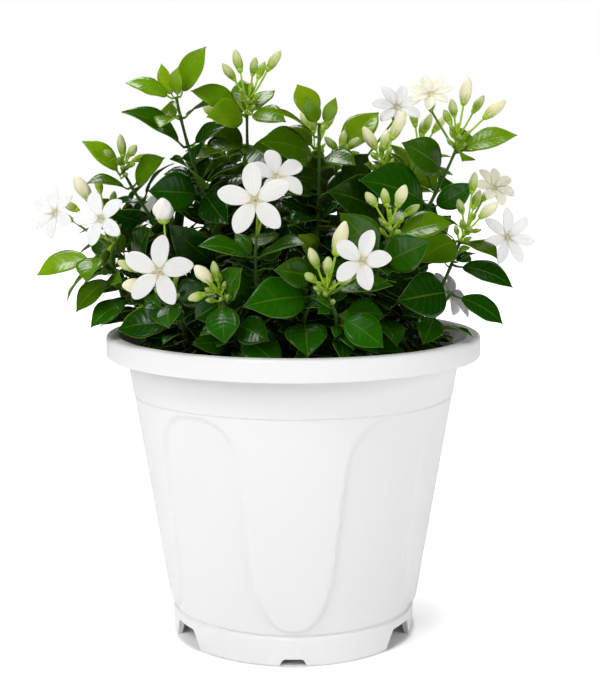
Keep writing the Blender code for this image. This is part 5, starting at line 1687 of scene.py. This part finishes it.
# %% the cutters
NOTCHES = 6
SMALL_NOTCH = (10.4, 15.0, 4.0)      # width at its top, width at the floor, height
LARGE_NOTCH = (17.5, 29.0, 10.5)
BELOW = 2.0                          # how far the notch cutters reach below the floor
DRAIN_HOLES = 5
DRAIN_RADIUS = 4.5
DRAIN_CIRCLE = 44.0


def turned_to(bm, degrees):
    """A cutter turned round the pot's axis."""
    turn = Matrix.Rotation(math.radians(degrees), 3, "Z")
    bmesh.ops.rotate(bm, verts=bm.verts, cent=(0, 0, 0), matrix=turn)
    return bm


def notch_cutter(index):
    """A wedge that cuts one drain notch in the foot ring: small in front, then large by turns."""
    top, bottom, height = LARGE_NOTCH if index % 2 else SMALL_NOTCH
    bm = bmesh.new()
    bmesh.ops.create_cube(bm, size=1)
    flare = (bottom - top) / 2 / height
    for vert in bm.verts:
        x, y, z = vert.co
        half = top / 2 if z > 0 else bottom / 2 + flare * BELOW
        vert.co = (half * 2 * x, -FOOT_RADIUS - 0.5 + y * 15, height if z > 0 else -BELOW)
    edges = [edge for edge in bm.edges if all(vert.co.z > 0 for vert in edge.verts)
             and abs(edge.verts[0].co.x - edge.verts[1].co.x) < 0.1]
    bmesh.ops.bevel(bm, geom=edges, offset=1.2, segments=3, profile=0.5, affect="EDGES", material=-1)
    return turned_to(bm, 360 / NOTCHES * index)


def drain_cutter(index):
    """A short rod through the raised floor."""
    bm = bmesh.new()
    bmesh.ops.create_cone(bm, cap_ends=True, segments=20, radius1=DRAIN_RADIUS, radius2=DRAIN_RADIUS,
                          depth=FLOOR_TOP - FLOOR_UNDERSIDE + 4)
    bmesh.ops.translate(bm, verts=bm.verts, vec=(0, -DRAIN_CIRCLE, (FLOOR_TOP + FLOOR_UNDERSIDE) / 2))
    return turned_to(bm, 360 / DRAIN_HOLES * (index + 0.5))


cutters = [notch_cutter(k) for k in range(NOTCHES)] + [drain_cutter(k) for k in range(DRAIN_HOLES)]
print(len(cutters), "cutters")

# %% cut them
def object_of(name, bm, collection):
    """A plain object of a mesh, in a collection."""
    mesh = bpy.data.meshes.new(name)
    bm.to_mesh(mesh)
    made = bpy.data.objects.new(name, mesh)
    collection.objects.link(made)
    return made


def cut(shell, cutters):
    """The shell with every cutter taken away by one exact Boolean."""
    folder = bpy.data.collections.new("cutters")
    bpy.context.scene.collection.children.link(folder)
    target = object_of("shell", shell, bpy.context.scene.collection)
    for cutter in cutters:
        object_of("cutter", cutter, folder)
    boolean = target.modifiers.new("Cut", "BOOLEAN")
    boolean.operation = "DIFFERENCE"
    boolean.operand_type = "COLLECTION"
    boolean.collection = folder
    boolean.solver = "EXACT"
    evaluated = target.evaluated_get(bpy.context.evaluated_depsgraph_get())
    bm = bmesh.new()
    bm.from_mesh(evaluated.to_mesh())
    for made in list(folder.objects) + [target]:
        bpy.data.objects.remove(made, do_unlink=True)
    bpy.data.collections.remove(folder)
    return bm


pot_mesh = cut(shell, cutters)
for face in pot_mesh.faces:
    face.smooth = True
    face.material_index = 0
pot = finished_piece("pot_shell", pot_mesh, (pot_skin,), "pot")
pot.data.set_sharp_from_angle(angle=math.radians(40))
print("pot", len(pot.data.polygons), "faces")

# %% [markdown]
# ## The soil
# Dark potting mix of bark and peat fills the pot to a finger's width under the rim. Little of it
# shows between the lowest leaves, so it is spun like the pot, its top is made rough by noise, and
# crumbs of bark lie on it.

# %% soil finish
SOIL_GRAIN = 2.38            # grains of the mix, millimetres


def soil_finish():
    """Loose potting mix: dull and dark brown, with lighter grains."""
    material, shader, node = new_finish("loose_potting_mix", {"Roughness": 0.95, "IOR": 1.4})
    place = node("TexCoord", output="Object")
    grain = node("TexNoise", {"Vector": place, "Scale": per_metre(SOIL_GRAIN), "Detail": 4.0})
    brown = node("Mix", {0: grain, 6: linear("#1a120c"), 7: linear("#5a4430")}, **COLOURS)
    bump = node("Bump", {"Height": grain, "Distance": 0.0015})
    link_patterns(material, shader, Base_Color=brown, Normal=bump)
    return material


# Peat and bark: no shine at all, so the soil is the darkest and dullest thing between the leaves.
soil_skin = soil_finish()
print("soil finish:", soil_skin.name)

# %% the bed of soil
SOIL_COLUMNS = 128
SOIL_RINGS = 40
SOIL_EDGE = inner_radius(SOIL_TOP) - GAP


def soil_bed():
    """The filling, flat and then roughened on top, a little higher in its middle."""
    outline = [(0.5, FLOOR_TOP + GAP), (inner_radius(FLOOR_TOP) - 1.5, FLOOR_TOP + GAP),
               (SOIL_EDGE, SOIL_TOP - 0.5)]
    outline += [(SOIL_EDGE * (1 - i / SOIL_RINGS) + 0.3 * i / SOIL_RINGS, SOIL_TOP)
                for i in range(SOIL_RINGS + 1)]
    bm = spun(outline, Vector((1, 0)), SOIL_COLUMNS)
    for vert in bm.verts:
        if vert.co.z > SOIL_TOP - 0.2:
            rough = noise.noise(vert.co * 0.12) * 1.6 + noise.noise(vert.co * 0.4) * 1.1
            middle = 1 - vert.co.xy.length / SOIL_EDGE
            vert.co.z += rough + SOIL_CROWN * min(middle * 2, 1)
    return bm


# %% crumbs of bark
CRUMBS = 260
CRUMB_SIZE = (0.8, 2.4)


def add_crumbs(bm):
    """Small uneven lumps strewn over the bed."""
    draw = random.Random(3)
    for _ in range(CRUMBS):
        made = bmesh.ops.create_icosphere(bm, subdivisions=1, radius=1)
        angle = draw.uniform(0, 2 * math.pi)
        reach = (SOIL_EDGE - 4) * math.sqrt(draw.random())
        size = draw.uniform(*CRUMB_SIZE)
        stretch = Vector((draw.uniform(0.7, 1.6), draw.uniform(0.6, 1.1), draw.uniform(0.4, 0.8))) * size
        spin = Matrix.Rotation(draw.uniform(0, AROUND), 3, "Z")
        centre = Vector((math.cos(angle) * reach, math.sin(angle) * reach, SOIL_TOP + 0.8))
        for vert in made["verts"]:
            rough = 1 + noise.noise(vert.co * 2 + centre) * 0.4
            vert.co = spin @ (vert.co * stretch * rough) + centre


soil_mesh = soil_bed()
add_crumbs(soil_mesh)
for face in soil_mesh.faces:
    face.smooth = len(face.verts) != 3
soil = finished_piece("soil_mix", soil_mesh, (soil_skin,), "soil")
print("soil", len(soil.data.polygons), "faces")

# %% [markdown]
# ## Stage, light and camera
# The plant stands on a plain white floor in soft studio light: a broad lamp from the front left, a
# weaker one from the right, and a bright surround. Those three are hidden from gloss, because they
# would lay a grey sheen over every dark leaf. Two small lamps above the plant also show in gloss,
# as the bright glints that waxed leaves have.

# %% floor
# The floor's glow is painted light for the camera, which lifts the lamps' shadows on it farther from the
# foot.
GLOW_RISES = (               # the floor's own light: from and to how far from the axis it rises, and how much
    (FOOT_RADIUS, FOOT_RADIUS + 3, 0.35), (FOOT_RADIUS + 8, FOOT_RADIUS + 100, 0.65))

floor_mesh = bmesh.new()
bmesh.ops.create_grid(floor_mesh, x_segments=1, y_segments=1, size=6)
floor = object_of("floor", floor_mesh, bpy.context.scene.collection)
floor_mesh.free()
# Matt white paper: no gloss. It glows a little for the camera: painted light that lifts its shadows, less
# under the pot, where its shadow stays.
floor_white, floor_shader, node = new_finish("matt_white_paper", {
    "Base Color": linear("#fafafa"), "Roughness": 0.9, "IOR": 1.45, "Specular IOR Level": 0.0,
    "Emission Color": (1, 1, 1, 1)})
away = node("VectorMath", {0: node("TexCoord", output="Object")}, "Value", operation="LENGTH")
glow = 0.0
for low, high, amount in GLOW_RISES:
    risen = node("MapRange", {"Value": away, "From Min": low * MM, "From Max": high * MM}, **SOFT)
    glow = node("Math", {0: risen, 1: amount, 2: glow}, operation="MULTIPLY_ADD")
lit = node("Math", {0: glow, 1: node("LightPath", output="Is Camera Ray")}, operation="MULTIPLY")
link_patterns(floor_white, floor_shader, Emission_Strength=lit)
floor.data.materials.append(floor_white)
print("floor of", floor_white.name)

# %% surround
world = bpy.data.worlds.new("studio")
bpy.context.scene.world = world
world.use_nodes = True
world.cycles_visibility.glossy = False
node = partial(add_node, world.node_tree)
surround = world.node_tree.nodes["Background"]
surround.inputs["Color"].default_value = (1, 1, 1, 1)
surround.inputs["Strength"].default_value = 0.24
backdrop = node("Background", {"Color": (1, 1, 1, 1), "Strength": 1.0})
in_picture = node("LightPath", output="Is Camera Ray")
chosen = node("MixShader", {0: in_picture, 1: surround.outputs[0], 2: backdrop})
world.node_tree.links.new(chosen, world.node_tree.nodes["World Output"].inputs[0])
print("surround", surround.inputs["Strength"].default_value)


# %% lamps
def area_light(name, place, target, size, power, mirrored=False):
    """A soft square light; only a mirrored one shows as a highlight on gloss."""
    data = bpy.data.lights.new(name, "AREA")
    data.shape = "SQUARE"
    data.size = size
    data.energy = power
    lamp = bpy.data.objects.new(name, data)
    bpy.context.scene.collection.objects.link(lamp)
    lamp.location = place
    lamp.rotation_euler = (Vector(target) - Vector(place)).to_track_quat("-Z", "Y").to_euler()
    lamp.visible_glossy = mirrored
    print("lamp", name, power, "W")


area_light("key", (-0.92, -1.2, 1.2), (0, 0, 0.15), 1.2, 18.2)
area_light("fill", (1.5, -0.85, 0.6), (0, 0, 0.12), 1.0, 11)
area_light("top", (-0.3, 0.6, 1.4), (0, 0, 0.2), 0.7, 10, mirrored=True)
area_light("spark", (-0.6, -0.95, 1.5), (0, 0, 0.25), 0.45, 4.5, mirrored=True)

# %% camera
CAMERA_PITCH = math.radians(8.37)
FRAME_WIDTH = 600
AXIS_COLUMN = 293.3          # the pot's axis in the photograph, in its own 600 columns
camera_data = bpy.data.cameras.new("camera")
camera_data.sensor_fit = "HORIZONTAL"
camera_data.sensor_width = 36
camera_data.lens = 77.34
camera_data.shift_x = (FRAME_WIDTH / 2 - AXIS_COLUMN) / FRAME_WIDTH
camera = bpy.data.objects.new("camera", camera_data)
bpy.context.scene.collection.objects.link(camera)
camera.location = (0, -EYE_DISTANCE * MM, EYE_HEIGHT * MM)
camera.rotation_euler = (math.pi / 2 - CAMERA_PITCH, 0, 0)
bpy.context.scene.camera = camera
bpy.context.scene.view_settings.view_transform = "Standard"
